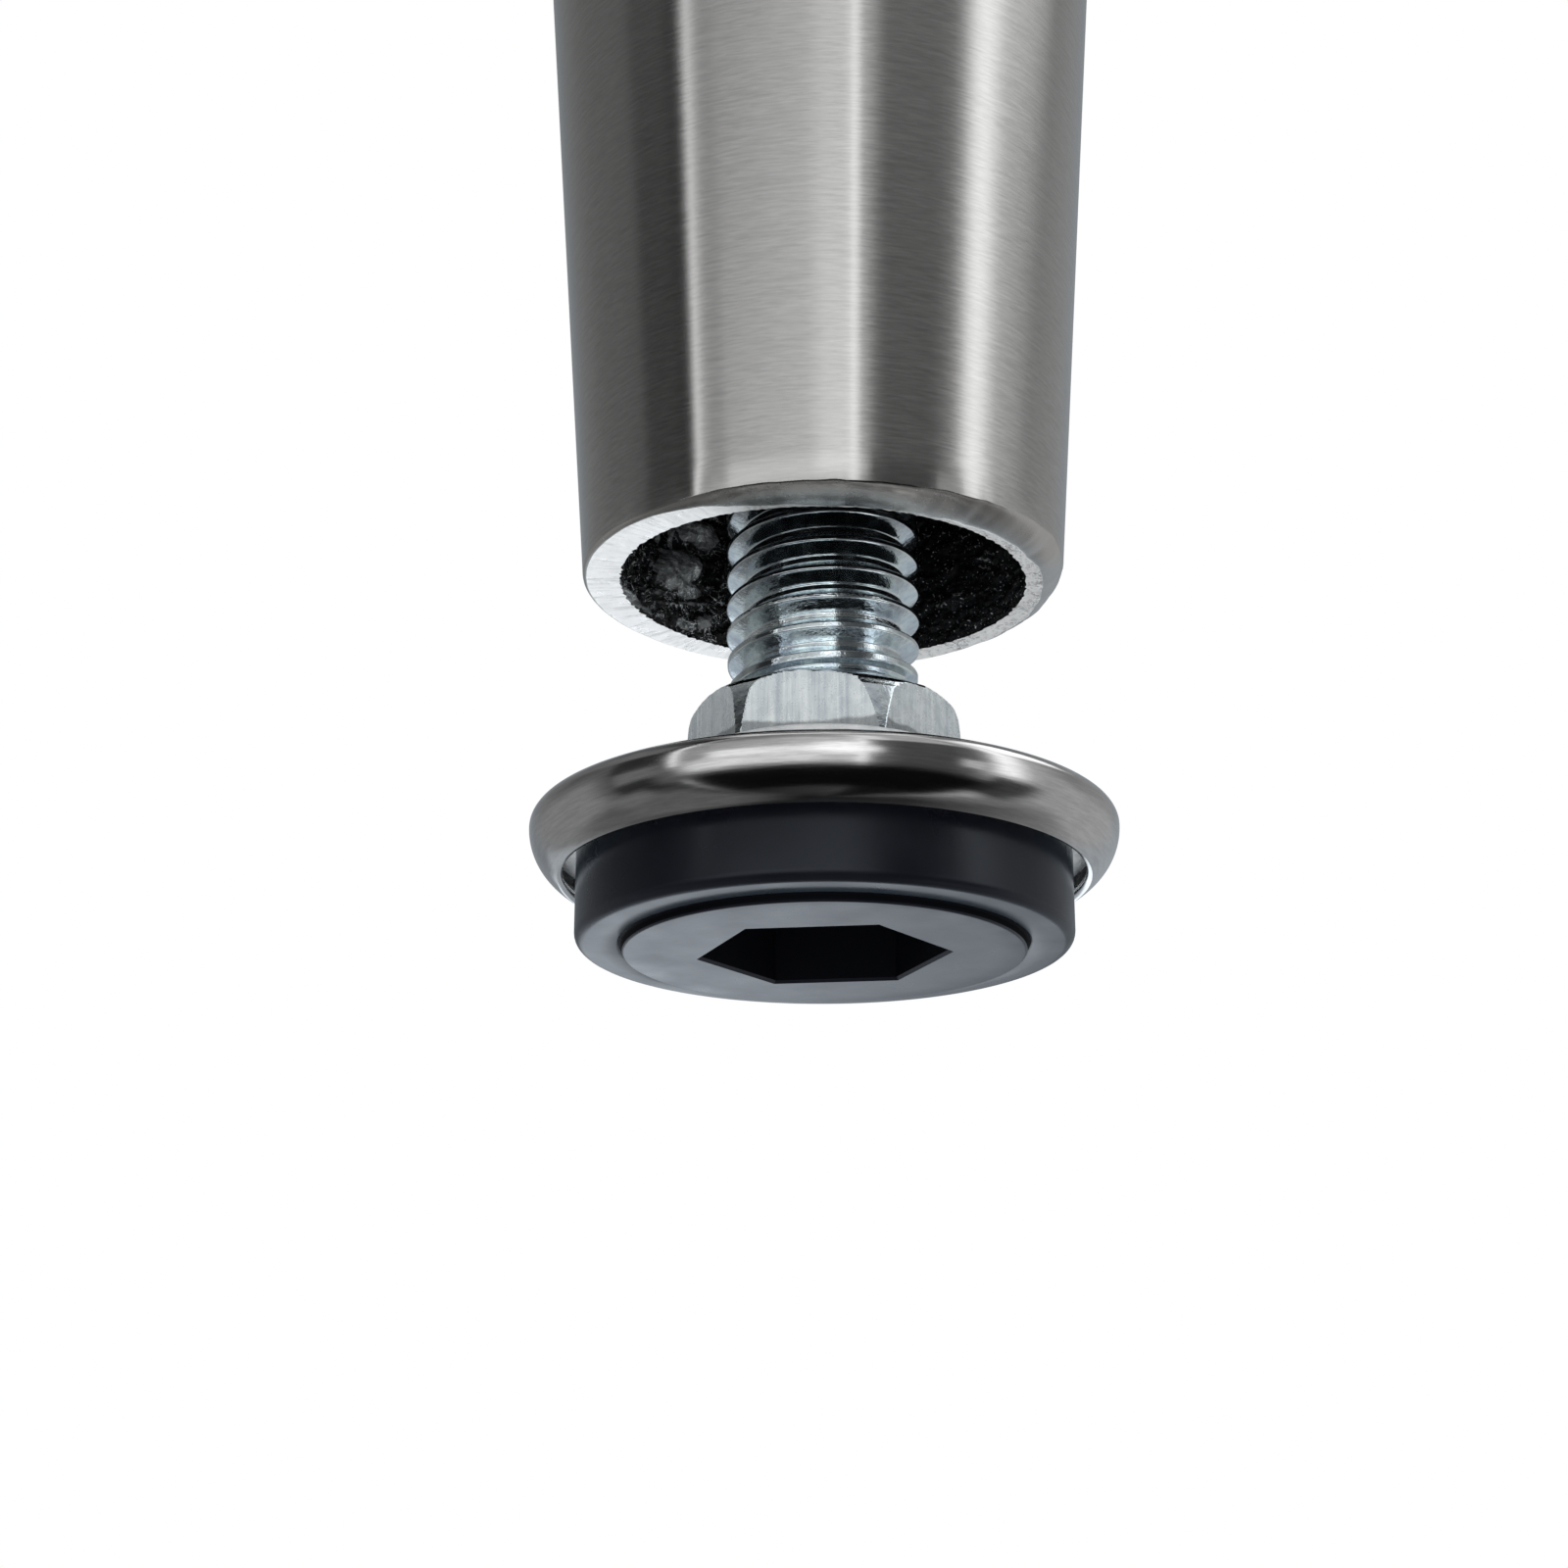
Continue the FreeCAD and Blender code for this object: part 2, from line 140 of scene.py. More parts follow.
def hexagon_radius(angle, flats, rounding):
    """Radius of a hexagon with rounded corners at an angle, from its width across flats."""
    sector = TURN / 6
    off = abs((angle - HEX_TURN + sector / 2) % sector - sector / 2)
    centre = flats / math.sqrt(3) - rounding / math.sin(sector)
    if rounding and math.tan(off) < rounding * 0.5 / (centre + rounding * math.cos(sector / 2)):
        return centre * math.cos(off) + math.sqrt(rounding ** 2 - (centre * math.sin(off)) ** 2)
    return flats / 2 / math.cos(sector / 2 - off)


def circle(radius, height):
    """A level ring."""
    return lambda angle: (radius, height)


def hexagon(flats, height, rounding=0.0, within=math.inf):
    """A level six-sided ring, no wider than the radius within."""
    return lambda angle: (min(hexagon_radius(angle, flats, rounding), within), height)


def arc(centre_radius, centre_height, radius, start, end, steps):
    """Level rings along an arc of the profile, its angles in degrees from straight out."""
    rings = []
    for step in range(steps + 1):
        angle = math.radians(start + (end - start) * step / steps)
        across = centre_radius + radius * math.cos(angle)
        rings.append(circle(across, centre_height + radius * math.sin(angle)))
    return rings


def new_piece(name, corners, faces, numbers, sharp=35):
    """Make an object from corners, faces and each face's material number. Edges over the angle sharp,
    in degrees, stay sharp."""
    mesh = bpy.data.meshes.new(name)
    mesh.from_pydata(corners, [], faces)
    mesh.polygons.foreach_set("material_index", numbers)
    work = bmesh.new()
    work.from_mesh(mesh)
    bmesh.ops.remove_doubles(work, verts=work.verts, dist=SAME_PLACE)
    bmesh.ops.dissolve_degenerate(work, edges=work.edges, dist=SAME_PLACE / 2)
    work.to_mesh(mesh)
    work.free()
    mesh.polygons.foreach_set("use_smooth", [True] * len(mesh.polygons))
    mesh.update()
    mesh.set_sharp_from_angle(angle=math.radians(sharp))
    piece = bpy.data.objects.new(name, mesh)
    bpy.context.scene.collection.objects.link(piece)
    return piece


def ring_corners(rings, angles):
    """Corners of a mesh, ring by ring."""
    return [(radius * math.cos(angle), radius * math.sin(angle), height)
            for ring in rings for angle in angles for radius, height in [ring(angle)]]


def skin(name, rings, angles, slots=None):
    """Skin rings into one piece, with the last ring joined to the first. slots gives the material number
    of the band from each ring to the next."""
    count = len(angles)
    faces = []
    for band in range(len(rings)):
        low = band * count
        high = (band + 1) % len(rings) * count
        for step in range(count):
            after = (step + 1) % count
            faces.append((low + step, low + after, high + after, high + step))
    numbers = [slot for slot in slots or [0] * len(rings) for step in range(count)]
    return new_piece(name, ring_corners(rings, angles), faces, numbers)


def place(piece, body, node, slot, *materials):
    """Let a piece stand for a node, on its body, with its materials."""
    for material in materials:
        piece.data.materials.append(material)
    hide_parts(node)
    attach(piece, body)


# Helpers for materials

class Nodes:
    """A node tree, built up node by node."""

    def __init__(self, tree):
        self.tree = tree

    def add(self, kind, inputs=None, **settings):
        """Add a node, with its settings, and its inputs as values or as other nodes' outputs."""
        node = self.tree.nodes.new(kind)
        for setting, value in settings.items():
            setattr(node, setting, value)
        for socket, value in (inputs or {}).items():
            self.feed(node, socket, value)
        return node

    def feed(self, node, socket, value):
        """Set an input to a value, or link it to an output."""
        if isinstance(value, bpy.types.NodeSocket):
            self.tree.links.new(value, node.inputs[socket])
        else:
            node.inputs[socket].default_value = value

    def calculate(self, operation, *values):
        """One sum on one to three values."""
        return self.add("ShaderNodeMath", dict(enumerate(values)), operation=operation).outputs["Value"]

    def remap(self, value, low, high, to_low, to_high, smooth=False):
        """Map a range of values on another, held at its ends."""
        node = self.add("ShaderNodeMapRange", {"Value": value, "From Min": low, "From Max": high,
                                               "To Min": to_low, "To Max": to_high})
        if smooth:
            node.interpolation_type = "SMOOTHSTEP"
        return node.outputs["Result"]

    def blend(self, factor, first, second):
        """Mix two colours."""
        node = self.add("ShaderNodeMix", data_type="RGBA")
        for socket, value in zip((0, 6, 7), (factor, first, second)):
            self.feed(node, socket, value)
        return node.outputs[2]

    def mix(self, factor, first, second):
        """Mix two numbers."""
        node = self.add("ShaderNodeMix", data_type="FLOAT")
        for socket, value in zip((0, 2, 3), (factor, first, second)):
            self.feed(node, socket, value)
        return node.outputs[0]

    def graph(self, value, low, high, table):
        """Read a table of pairs at a value, as grey on a colour ramp."""
        node = self.add("ShaderNodeValToRGB", {"Fac": self.remap(value, low, high, 0, 1)})
        elements = node.color_ramp.elements
        for number, (stop, level) in enumerate(table):
            part = (stop - low) / (high - low)
            element = elements[number] if number < 2 else elements.new(part)
            element.position = part
            element.color = (level, level, level, 1)
        return node.outputs["Color"]


class Shader(Nodes):
    """A material and its nodes."""

    def __init__(self, name):
        self.material = bpy.data.materials.new(name)
        self.material.use_nodes = True
        super().__init__(self.material.node_tree)
        self.surface = next(node for node in self.tree.nodes if node.type == "BSDF_PRINCIPLED")
        self.spot = self.add("ShaderNodeTexCoord").outputs["Object"]

    def set(self, **inputs):
        """Set the surface's own inputs, with underscores for spaces."""
        for socket, value in inputs.items():
            self.feed(self.surface, socket.replace("_", " "), value)

    def stretched(self, across, along, offset=0.0):
        """Position with its level and its upright parts scaled each by its own number."""
        return self.add("ShaderNodeMapping", {"Vector": self.spot, "Scale": (across, across, along),
                                              "Location": (offset, offset, offset)}).outputs["Vector"]

    def noise(self, vector, detail=2.0, roughness=0.5, distortion=0.0):
        """Noise from 0 to 1."""
        inputs = {"Vector": vector, "Scale": 1.0, "Detail": detail, "Roughness": roughness,
                  "Distortion": distortion}
        return self.add("ShaderNodeTexNoise", inputs).outputs["Fac"]

    def round_place(self, turns, outward, upward):
        """Direction from the axis times turns, with radius and height, scaled, as the third part."""
        across, deep, up = self.add("ShaderNodeSeparateXYZ", {0: self.spot}).outputs
        square = self.calculate("MULTIPLY_ADD", across, across, self.calculate("MULTIPLY", deep, deep))
        radius = self.calculate("SQRT", square)
        spread = self.calculate("DIVIDE", turns, radius)
        third = self.calculate("MULTIPLY_ADD", radius, outward, self.calculate("MULTIPLY", up, upward))
        parts = (self.calculate("MULTIPLY", across, spread), self.calculate("MULTIPLY", deep, spread), third)
        return self.add("ShaderNodeCombineXYZ", dict(enumerate(parts))).outputs[0]

    def bump(self, height, strength, distance, normal=None):
        """Turn a height into a normal."""
        inputs = {"Height": height, "Strength": strength, "Distance": distance}
        if normal:
            inputs["Normal"] = normal
        return self.add("ShaderNodeBump", inputs).outputs["Normal"]


def shade(colour, factor):
    """A colour made darker or lighter."""
    return tuple(min(1.0, part * factor) for part in colour) + (1,)


def brushed_steel(name, colour, roughness):
    """Steel brushed round the axis: fine level lines, and highlights drawn out upright."""
    shader = Shader(name)
    fine = shader.noise(shader.stretched(900, 8500), detail=3.0, roughness=0.75)
    broad = shader.noise(shader.stretched(200, 3600, 3.0), detail=3.0, roughness=0.65)
    cloud = shader.noise(shader.stretched(60, 30, 8.0), detail=2.0)
    lines = shader.calculate("MULTIPLY_ADD", fine, 0.88, shader.calculate("MULTIPLY", broad, 0.12))
    pale = shader.remap(lines, 0.35, 0.65, 0, 1)
    dull = shader.remap(cloud, 0.3, 0.7, 0.93, 1.07)
    rough = shader.remap(lines, 0.3, 0.7, roughness * 0.9, roughness * 1.1)
    shader.set(
        Base_Color=shader.blend(pale, shade(colour, 0.91), shade(colour, 1.09)),
        Metallic=1.0,
        Roughness=shader.calculate("MULTIPLY", dull, rough),
        Anisotropic=1.0,
        Anisotropic_Rotation=0.25,
        Normal=shader.bump(fine, 0.08, 0.02 * MM),
        Tangent=shader.add("ShaderNodeTangent", direction_type="RADIAL", axis="Z").outputs["Tangent"],
    )
    return shader.material


# Cut steel where the saw scratched it and where it sparkles: dark and pale places of each
SCRATCHED_DARK = (0.68, 0.65, 0.62, 1)
SCRATCHED_PALE = (0.86, 0.83, 0.8, 1)
SPARKLING_DARK = (0.36, 0.35, 0.34, 1)
SPARKLING_PALE = (1.0, 0.96, 0.92, 1)


def raw_cut_steel(name):
    """Bare cut steel: pale, scratched across the rim on one side and sparkling on the other."""
    shader = Shader(name)
    grain = shader.noise(shader.stretched(5200, 5200), detail=4.0, roughness=0.75)
    cloud = shader.noise(shader.stretched(1100, 1100, 7.0), detail=3.0)
    scratches = shader.noise(shader.round_place(34, 420, 420), detail=5.0, roughness=0.7)
    across = shader.add("ShaderNodeSeparateXYZ", {0: shader.spot}).outputs["X"]
    side = shader.remap(across, -4 * MM, 4 * MM, 0.15, 0.85)
    marks = shader.mix(side, scratches, grain)
    tone = shader.calculate("MULTIPLY_ADD", marks, 0.75, shader.calculate("MULTIPLY", cloud, 0.25))
    pale = shader.remap(tone, 0.4, 0.5, 0, 1)
    shader.set(
        Base_Color=shader.blend(pale, shader.blend(side, SCRATCHED_DARK, SPARKLING_DARK),
                                shader.blend(side, SCRATCHED_PALE, SPARKLING_PALE)),
        Metallic=0.85,
        Roughness=shader.remap(cloud, 0.3, 0.7, 0.24, 0.38),
        Normal=shader.bump(grain, shader.mix(side, 0.12, 1.0), 0.1 * MM,
                           shader.bump(scratches, 0.3, 0.12 * MM)),
    )
    return shader.material


def rolled_edge(name):
    """Smooth worn steel of the rounded rim."""
    shader = Shader(name)
    cloud = shader.noise(shader.stretched(900, 900), detail=4.0, roughness=0.6)
    fine = shader.noise(shader.round_place(60, 9000, 9000), detail=2.0)
    pale = shader.remap(cloud, 0.35, 0.65, 0, 1)
    shader.set(
        Base_Color=shader.blend(pale, (0.58, 0.57, 0.55, 1), (0.65, 0.64, 0.62, 1)),
        Metallic=1.0,
        Roughness=shader.remap(cloud, 0.3, 0.7, 0.2, 0.3),
        Normal=shader.bump(fine, 0.08, 0.04 * MM),
    )
    return shader.material


# Paint, and the pale colour of dust and bare metal in it, which also gives the painted glints and a painted
# reflection on the lumps
PAINT_BLACK = (0.004, 0.004, 0.0045, 1)
PAINT_PALE_DUST_AND_GLINT = (0.92, 0.95, 0.95, 1)


def inside_paint(name):
    """Thick black paint over weld and scale: wet glints from its gloss, pale scrawled lines that are painted
    glints, and dusty and bare places, partly a painted reflection on the lumps.
    """
    shader = Shader(name)
    lumps = shader.noise(shader.stretched(1300, 1300), detail=5.0, roughness=0.65)
    grit = shader.noise(shader.stretched(5200, 5200, 2.0), detail=3.0, roughness=0.7)
    specks = shader.noise(shader.stretched(8200, 8200, 11.0), detail=1.0)
    glint_scrawl = shader.noise(shader.stretched(1500, 1500, 5.0), detail=2.0, distortion=2.0)
    across = shader.add("ShaderNodeSeparateXYZ", {0: shader.spot}).outputs["X"]
    dust_and_reflection = shader.add("ShaderNodeAttribute", attribute_name="dust_and_reflection").outputs["Fac"]
    # Thin pale scrawled lines over the black paint: painted glints
    off_line = shader.calculate("ABSOLUTE", shader.calculate("SUBTRACT", glint_scrawl, 0.5))
    lines = shader.calculate("MULTIPLY", shader.remap(off_line, 0.01, 0.024, 1.6, 0),
                             shader.remap(lumps, 0.48, 0.54, 0, 1))
    lines = shader.calculate("MULTIPLY", lines, shader.remap(dust_and_reflection, 0.01, 0.03, 0, 1))
    dust = shader.calculate("MULTIPLY", shader.remap(specks, 0.68, 0.73, 0.0, 1.0),
                            shader.remap(across, -4 * MM, 3 * MM, 0.15, 1.0))
    # Pale patches on the lumps: dust and bare metal, and partly a painted reflection on the glossy paint
    patch = shader.remap(shader.calculate("SUBTRACT", dust_and_reflection, shader.remap(lumps, 0.3, 0.7, 0.1, 0.5)),
                         0.0, 0.04, 0, 1)
    streaks = shader.noise(shader.stretched(900, 5200, 3.0), detail=3.0, roughness=0.7)
    bare_and_reflection = shader.calculate("MULTIPLY", patch, shader.calculate("MULTIPLY", dust_and_reflection, dust_and_reflection))
    bare_and_reflection = shader.calculate("MULTIPLY", bare_and_reflection, shader.remap(streaks, 0.42, 0.58, 0.3, 1.5))
    marks = shader.calculate("MAXIMUM", dust, lines)
    amount = shader.calculate("MINIMUM", shader.calculate("ADD", marks, bare_and_reflection), 1.0)
    shader.set(
        Base_Color=shader.blend(amount, PAINT_BLACK, PAINT_PALE_DUST_AND_GLINT),
        Metallic=shader.remap(amount, 0.1, 0.6, 0.0, 0.8),
        Roughness=shader.remap(grit, 0.35, 0.7, 0.07, 0.24),
        Specular_IOR_Level=0.5,
        Normal=shader.bump(grit, 0.35, 0.1 * MM, shader.bump(lumps, 0.85, 0.4 * MM)),
    )
    return shader.material


# Painted shade round the bar just above the disc's neck, where the bar meets it: its upper edge, how far
# that wanders and fades, and colour
SHADE_TOP = NECK_TOP + 0.94 * MM
SHADE_WAVE = 0.9 * MM
SHADE_EDGE = 0.12 * MM
PAINTED_SHADE = (0.06, 0.065, 0.07, 1)


def zinc_plating(name, colour, roughness, metallic=1.0, upright=False):
    """Zinc plating: bluish and blotchy, and on the hexagon's upright faces streaked, with a band of painted
    shade at the bar's foot.
    """
    shader = Shader(name)
    cloud = shader.noise(shader.stretched(420, 420, 5.0), detail=3.0)
    blotch = shader.noise(shader.stretched(1500, 1500, 9.0), detail=4.0, roughness=0.7)
    relief = blotch
    tone = shader.calculate("MULTIPLY_ADD", blotch, 0.55, shader.calculate("MULTIPLY", cloud, 0.45))
    if upright:
        streaks = shader.noise(shader.round_place(24, 0, 170), detail=4.0, roughness=0.65)
        relief = shader.calculate("MULTIPLY_ADD", streaks, 0.85, shader.calculate("MULTIPLY", blotch, 0.15))
        tone = shader.calculate("MULTIPLY_ADD", streaks, 0.65, shader.calculate("MULTIPLY", tone, 0.35))
    plating = shader.blend(shader.remap(tone, 0.38, 0.6, 0, 1), shade(colour, 0.72), shade(colour, 1.12))
    # Painted shade: a dark band round the bar's foot, where it meets the disc's neck
    if upright:
        height = shader.add("ShaderNodeSeparateXYZ", {0: shader.spot}).outputs["Z"]
        wavy = shader.calculate("MULTIPLY_ADD", cloud, SHADE_WAVE, height)
        shade_mask = shader.remap(wavy, SHADE_TOP, SHADE_TOP + SHADE_EDGE, 0.6, 0)
        plating = shader.blend(shade_mask, plating, PAINTED_SHADE)
    shader.set(
        Base_Color=plating,
        Metallic=metallic,
        Roughness=shader.remap(blotch, 0.35, 0.7, roughness * 0.7, roughness * 1.5),
        Normal=shader.bump(relief, 0.25, 0.1 * MM),
    )
    return shader.material


def pressed_steel(name, colour, roughness):
    """Pressed and lightly brushed steel: nearly bright, with faint lines round the axis."""
    shader = Shader(name)
    lines = shader.noise(shader.stretched(700, 9000), detail=3.0, roughness=0.7)
    cloud = shader.noise(shader.stretched(300, 300, 4.0), detail=3.0)
    pale = shader.remap(lines, 0.35, 0.65, 0, 1)
    shader.set(
        Base_Color=shader.blend(pale, shade(colour, 0.9), shade(colour, 1.1)),
        Metallic=1.0,
        Roughness=shader.remap(cloud, 0.3, 0.7, roughness * 0.9, roughness * 1.15),
        Normal=shader.bump(lines, 0.06, 0.03 * MM),
    )
    return shader.material


def moulded_plastic(name, dark, light, roughness, shine=0.4, haze=0.04):
    """Smooth black plastic with a faint mould texture."""
    shader = Shader(name)
    cloud = shader.noise(shader.stretched(350, 350), detail=3.0)
    grain = shader.noise(shader.stretched(6000, 6000, 2.0), detail=2.0)
    shader.set(
        Base_Color=shader.blend(cloud, dark + (1,), light + (1,)),
        Roughness=shader.remap(cloud, 0.3, 0.7, roughness * 0.85, roughness * 1.2),
        Specular_IOR_Level=shine,
        Specular_Tint=(0.8, 0.89, 1.0, 1),
        Sheen_Weight=haze,
        Sheen_Roughness=0.4,
        Sheen_Tint=(0.55, 0.8, 1.0, 1),
        Normal=shader.bump(grain, 0.05, 0.04 * MM),
    )
    return shader.material


# Materials

leg_steel = brushed_steel("leg_steel", (0.6, 0.6, 0.59), 0.2)
plate_steel = brushed_steel("plate_steel", (0.56, 0.56, 0.55), 0.24)
rim_steel = raw_cut_steel("rim_steel")
rim_edge = rolled_edge("rim_edge")
black_paint = inside_paint("black_paint")
collar_zinc = zinc_plating("collar_zinc", (0.84, 0.93, 1.0), 0.27, metallic=0.55, upright=True)
thread_zinc = zinc_plating("thread_zinc", (0.79, 0.88, 0.98), 0.085)
disc_zinc = zinc_plating("disc_zinc", (0.9, 0.96, 1.0), 0.45, metallic=0.0)
cap_steel = pressed_steel("cap_steel", (0.64, 0.64, 0.64), 0.13)
pad_plastic = moulded_plastic("pad_plastic", (0.003, 0.003, 0.005), (0.005, 0.005, 0.008), 0.3)
# A darker, duller copy of the pad's plastic: painted shade in the socket and in the groove round the tread
shaded_pad_plastic = moulded_plastic("shaded_pad_plastic", (0.001, 0.001, 0.0015), (0.002, 0.002, 0.003), 0.6,
                                 shine=0.1, haze=0.0)


# Leg tube, with its rounded rim and painted, lumpy inside

TAPER = (TUBE_TOP_RADIUS - TUBE_FOOT_RADIUS) / (TUBE_TOP - RIM_HEIGHT)
EDGE_END = RIM_HEIGHT + 1.5 * MM

# Material numbers on the tube: plain outside, rounded edge, cut rim and painted inside
OUTSIDE, EDGE, CUT, PAINTED = range(4)

# Lumpy paint, from its lowest row just above the rim up to its top, its fine grain, and its rows of mesh
PAINT_START = RIM_HEIGHT + 0.16 * MM
PAINT_TOP = 27.0 * MM
PAINT_GRAIN = 0.16 * MM
PAINT_ROWS = 100

# Rows bunch up towards the rim by this power, and the lumps fade in from a share over the first rows
ROW_POWER = 1.25
FIRST_SHARE = 0.4
SHARE_ROWS = 10

# Angles in degrees between which the lumps show most, and how many columns of mesh each degree has there
FINE_START = 100
FINE_END = 190
FINE_COLUMNS = 3

# How far in and how far up the rim's outer edge is rounded over, in millimetres, by angle in degrees, and
# the power that makes the rounding fuller or flatter
RIM_WIDTH = [(0, 0.8), (35, 0.6), (70, 0.35), (100, 0.25), (180, 0.15), (228, 0.18), (240, 0.5),
             (252, 1.2), (270, 1.46), (300, 1.42), (320, 1.15), (340, 0.95), (360, 0.8)]
RIM_RISE = [(0, 0.85), (35, 0.6), (70, 0.35), (100, 0.25), (180, 0.15), (228, 0.18), (240, 0.3),
            (252, 0.4), (270, 0.45), (300, 0.5), (320, 0.65), (340, 0.8), (360, 0.85)]
ROLL_POWER = 1.35

# How far the sawn rim stands off square, in millimetres, by angle in degrees, and how high up inside
# that fades out
RIM_LIFT = [(0, -0.2), (60, -0.08), (90, 0.0), (140, 0.12), (180, 0.14), (215, 0.05), (245, -0.12),
            (270, -0.2), (320, -0.22), (360, -0.2)]
LIFT_FADE = 3.0 * MM

# Burr on the inner edge, and how far it strays
BURR = 0.13 * MM
RAGGED = 0.1 * MM

# Share by which the rounding wavers, and how quickly that and the burr change round the rim
EDGE_WAVER = 0.12
EDGE_PACE = 9
BURR_PACE = 40

# Lumps of weld and paint inside, in degrees and millimetres: angle, height, half width round, half height,
# lean, how far in, and how pale with dust and bare metal, that pale partly a painted reflection on the
# glossy lumps
LUMPS = [
    (140.2, 18.85, 1.5, 0.95, 0.33, 0.65, 0.62),
    (132.6, 19.25, 0.45, 0.5, 0.2, 0.25, 0.9),
    (134.0, 18.1, 0.8, 0.3, 0.3, 0.1, 0.75),
    (134.0, 21.15, 1.15, 0.6, 0.2, 0.45, 0.5),
    (127.4, 21.2, 0.8, 0.7, 0.0, 0.25, 0.75),
    (146.5, 20.4, 0.14, 0.5, 0.0, 0.12, 0.9),
    (141.5, 20.35, 0.12, 0.5, 0.0, 0.12, 0.8),
    (143.8, 19.6, 0.5, 0.12, 0.0, 0.1, 0.9),
    (166.0, 16.38, 1.5, 0.2, 0.0, -0.05, 0.8),
    (152.8, 16.4, 0.5, 0.12, 0.0, 0.0, 0.7),
    (135.4, 16.55, 0.5, 0.22, 0.0, 0.05, 0.8),
    (116.8, 22.4, 0.28, 0.45, 0.0, 0.1, 0.8),
    (128.2, 16.9, 0.6, 0.35, 0.3, 0.3, 0.4),
    (137.5, 17.4, 2.2, 0.12, 0.25, 0.12, 0.4),
    (150.0, 17.4, 1.4, 0.14, 0.2, 0.15, 0.3),
    (150.0, 18.9, 4.0, 4.0, 0.0, 0.1, 0.03),
    (125.0, 19.5, 4.0, 4.5, 0.0, 0.1, 0.03),
    (33.0, 19.1, 0.6, 0.05, -0.5, 0.05, 0.6),
    (31.0, 19.3, 0.5, 0.05, -0.5, 0.05, 0.5),
    (35.5, 18.9, 0.5, 0.05, -0.5, 0.05, 0.5),
    (48.0, 17.9, 0.9, 0.3, 0.0, 0.25, 0.05),
    (20.0, 19.5, 1.4, 0.8, 0.3, 0.3, 0.0),
    (70.0, 17.6, 1.2, 0.5, 0.0, 0.35, 0.05),
    (95.0, 19.0, 1.5, 1.1, -0.2, 0.5, 0.05),
    (182.0, 19.0, 1.2, 1.5, 0.0, 0.3, 0.02),
    (215.0, 18.5, 1.6, 1.0, 0.0, 0.5, 0.04),
    (250.0, 20.0, 1.8, 1.2, 0.0, 0.4, 0.04),
    (300.0, 18.0, 1.4, 0.8, 0.0, 0.4, 0.04),
    (335.0, 20.5, 1.6, 1.0, 0.0, 0.4, 0.03),
]


def tube_radius(height):
    """Outside of the tube at a height."""
    return TUBE_FOOT_RADIUS + TAPER * (height - RIM_HEIGHT)


def lumps_at(angle, height, radius):
    """How far the lumps stand in, and how pale they are, at a place on the wall: dust and bare metal, partly
    a painted reflection.
    """
    depth = 0.0
    dust_and_reflection = 0.0
    spot = Vector((radius * math.cos(angle), radius * math.sin(angle), height)) / MM
    for degrees, middle, width, tall, lean, far, pale in LUMPS:
        across = -angle_from(degrees, angle) * radius / MM
        up = height / MM - middle - lean * across
        if abs(across) > 3 * width or abs(up) > 3 * tall:
            continue
        swell = math.exp(-((across / width) ** 2 + (up / tall) ** 2) ** 2)
        depth += far * MM * swell * (1 + 0.2 * noise.noise(spot * 1.3))
        dust_and_reflection = max(dust_and_reflection, pale * min(1.0, 1.6 * swell) * (1 + 0.3 * noise.noise(spot * 4.0)))
    return depth, dust_and_reflection


def rim_table(table, angle):
    """Read one of the rim's tables at an angle, as a length."""
    return interpolate(table, math.degrees(angle) % 360) * MM


def painted_wall(height, fade):
    """Ring of the painted wall at a height, smooth at the rim and lumpy above it."""
    wall = tube_radius(height) - TUBE_WALL
    near_rim = max(0.0, 1 - (height - RIM_HEIGHT) / LIFT_FADE)

    def ring(angle):
        up = height + near_rim * rim_table(RIM_LIFT, angle)
        spot = Vector((wall * math.cos(angle), wall * math.sin(angle), up)) / MM
        grain = PAINT_GRAIN * (0.6 + noise.fractal(spot * 2.4, 0.7, 2.1, 4))
        return wall - fade * max(0.0, grain + lumps_at(angle, up, wall)[0]), up
    return ring


def waver(angle, pace):
    """Uneven number round the rim, about 0."""
    return noise.fractal(Vector((math.cos(angle), math.sin(angle), 0.3)) * pace, 0.9, 2.0, 3)


def rim_rounding(table, angle):
    """Read one of the rounding's tables at an angle, with its waver."""
    return rim_table(table, angle) * (1 + EDGE_WAVER * waver(angle, EDGE_PACE))


def rim_rings():
    """Rings round the rim, from the outside in, and the slot of each: rounded edge, flat, and inner burr."""
    rings = []
    bore = TUBE_FOOT_RADIUS - TUBE_WALL
    edge_steps = 14
    flat_parts = (0.25, 0.5, 0.75, 1.0)
    burr_parts = (0.35, 0.7, 1.0)
    for step in range(edge_steps + 1):
        def edge(angle, part=math.pi / 2 * step / edge_steps):
            rise = rim_rounding(RIM_RISE, angle) * (1 - math.sin(part) ** ROLL_POWER)
            inward = rim_rounding(RIM_WIDTH, angle) * (1 - math.cos(part) ** ROLL_POWER)
            lift = rim_table(RIM_LIFT, angle)
            return TUBE_FOOT_RADIUS + TAPER * (rise + lift) - inward, RIM_HEIGHT + rise + lift
        rings.append(edge)
    for part in flat_parts:
        def flat(angle, part=part):
            outer = TUBE_FOOT_RADIUS - rim_rounding(RIM_WIDTH, angle)
            inner = bore - BURR + RAGGED * waver(angle, BURR_PACE)
            return outer + (inner - outer) * part, RIM_HEIGHT + rim_table(RIM_LIFT, angle)
        rings.append(flat)
    for part in burr_parts:
        def inner_edge(angle, part=part):
            across = bore + (RAGGED * waver(angle, BURR_PACE) - BURR) * (1 - part)
            return across, RIM_HEIGHT + rim_table(RIM_LIFT, angle) + BURR * part
        rings.append(inner_edge)
    slots = [EDGE] * edge_steps + [CUT] * len(flat_parts) + [PAINTED] * (len(burr_parts) + 1)
    return rings, slots


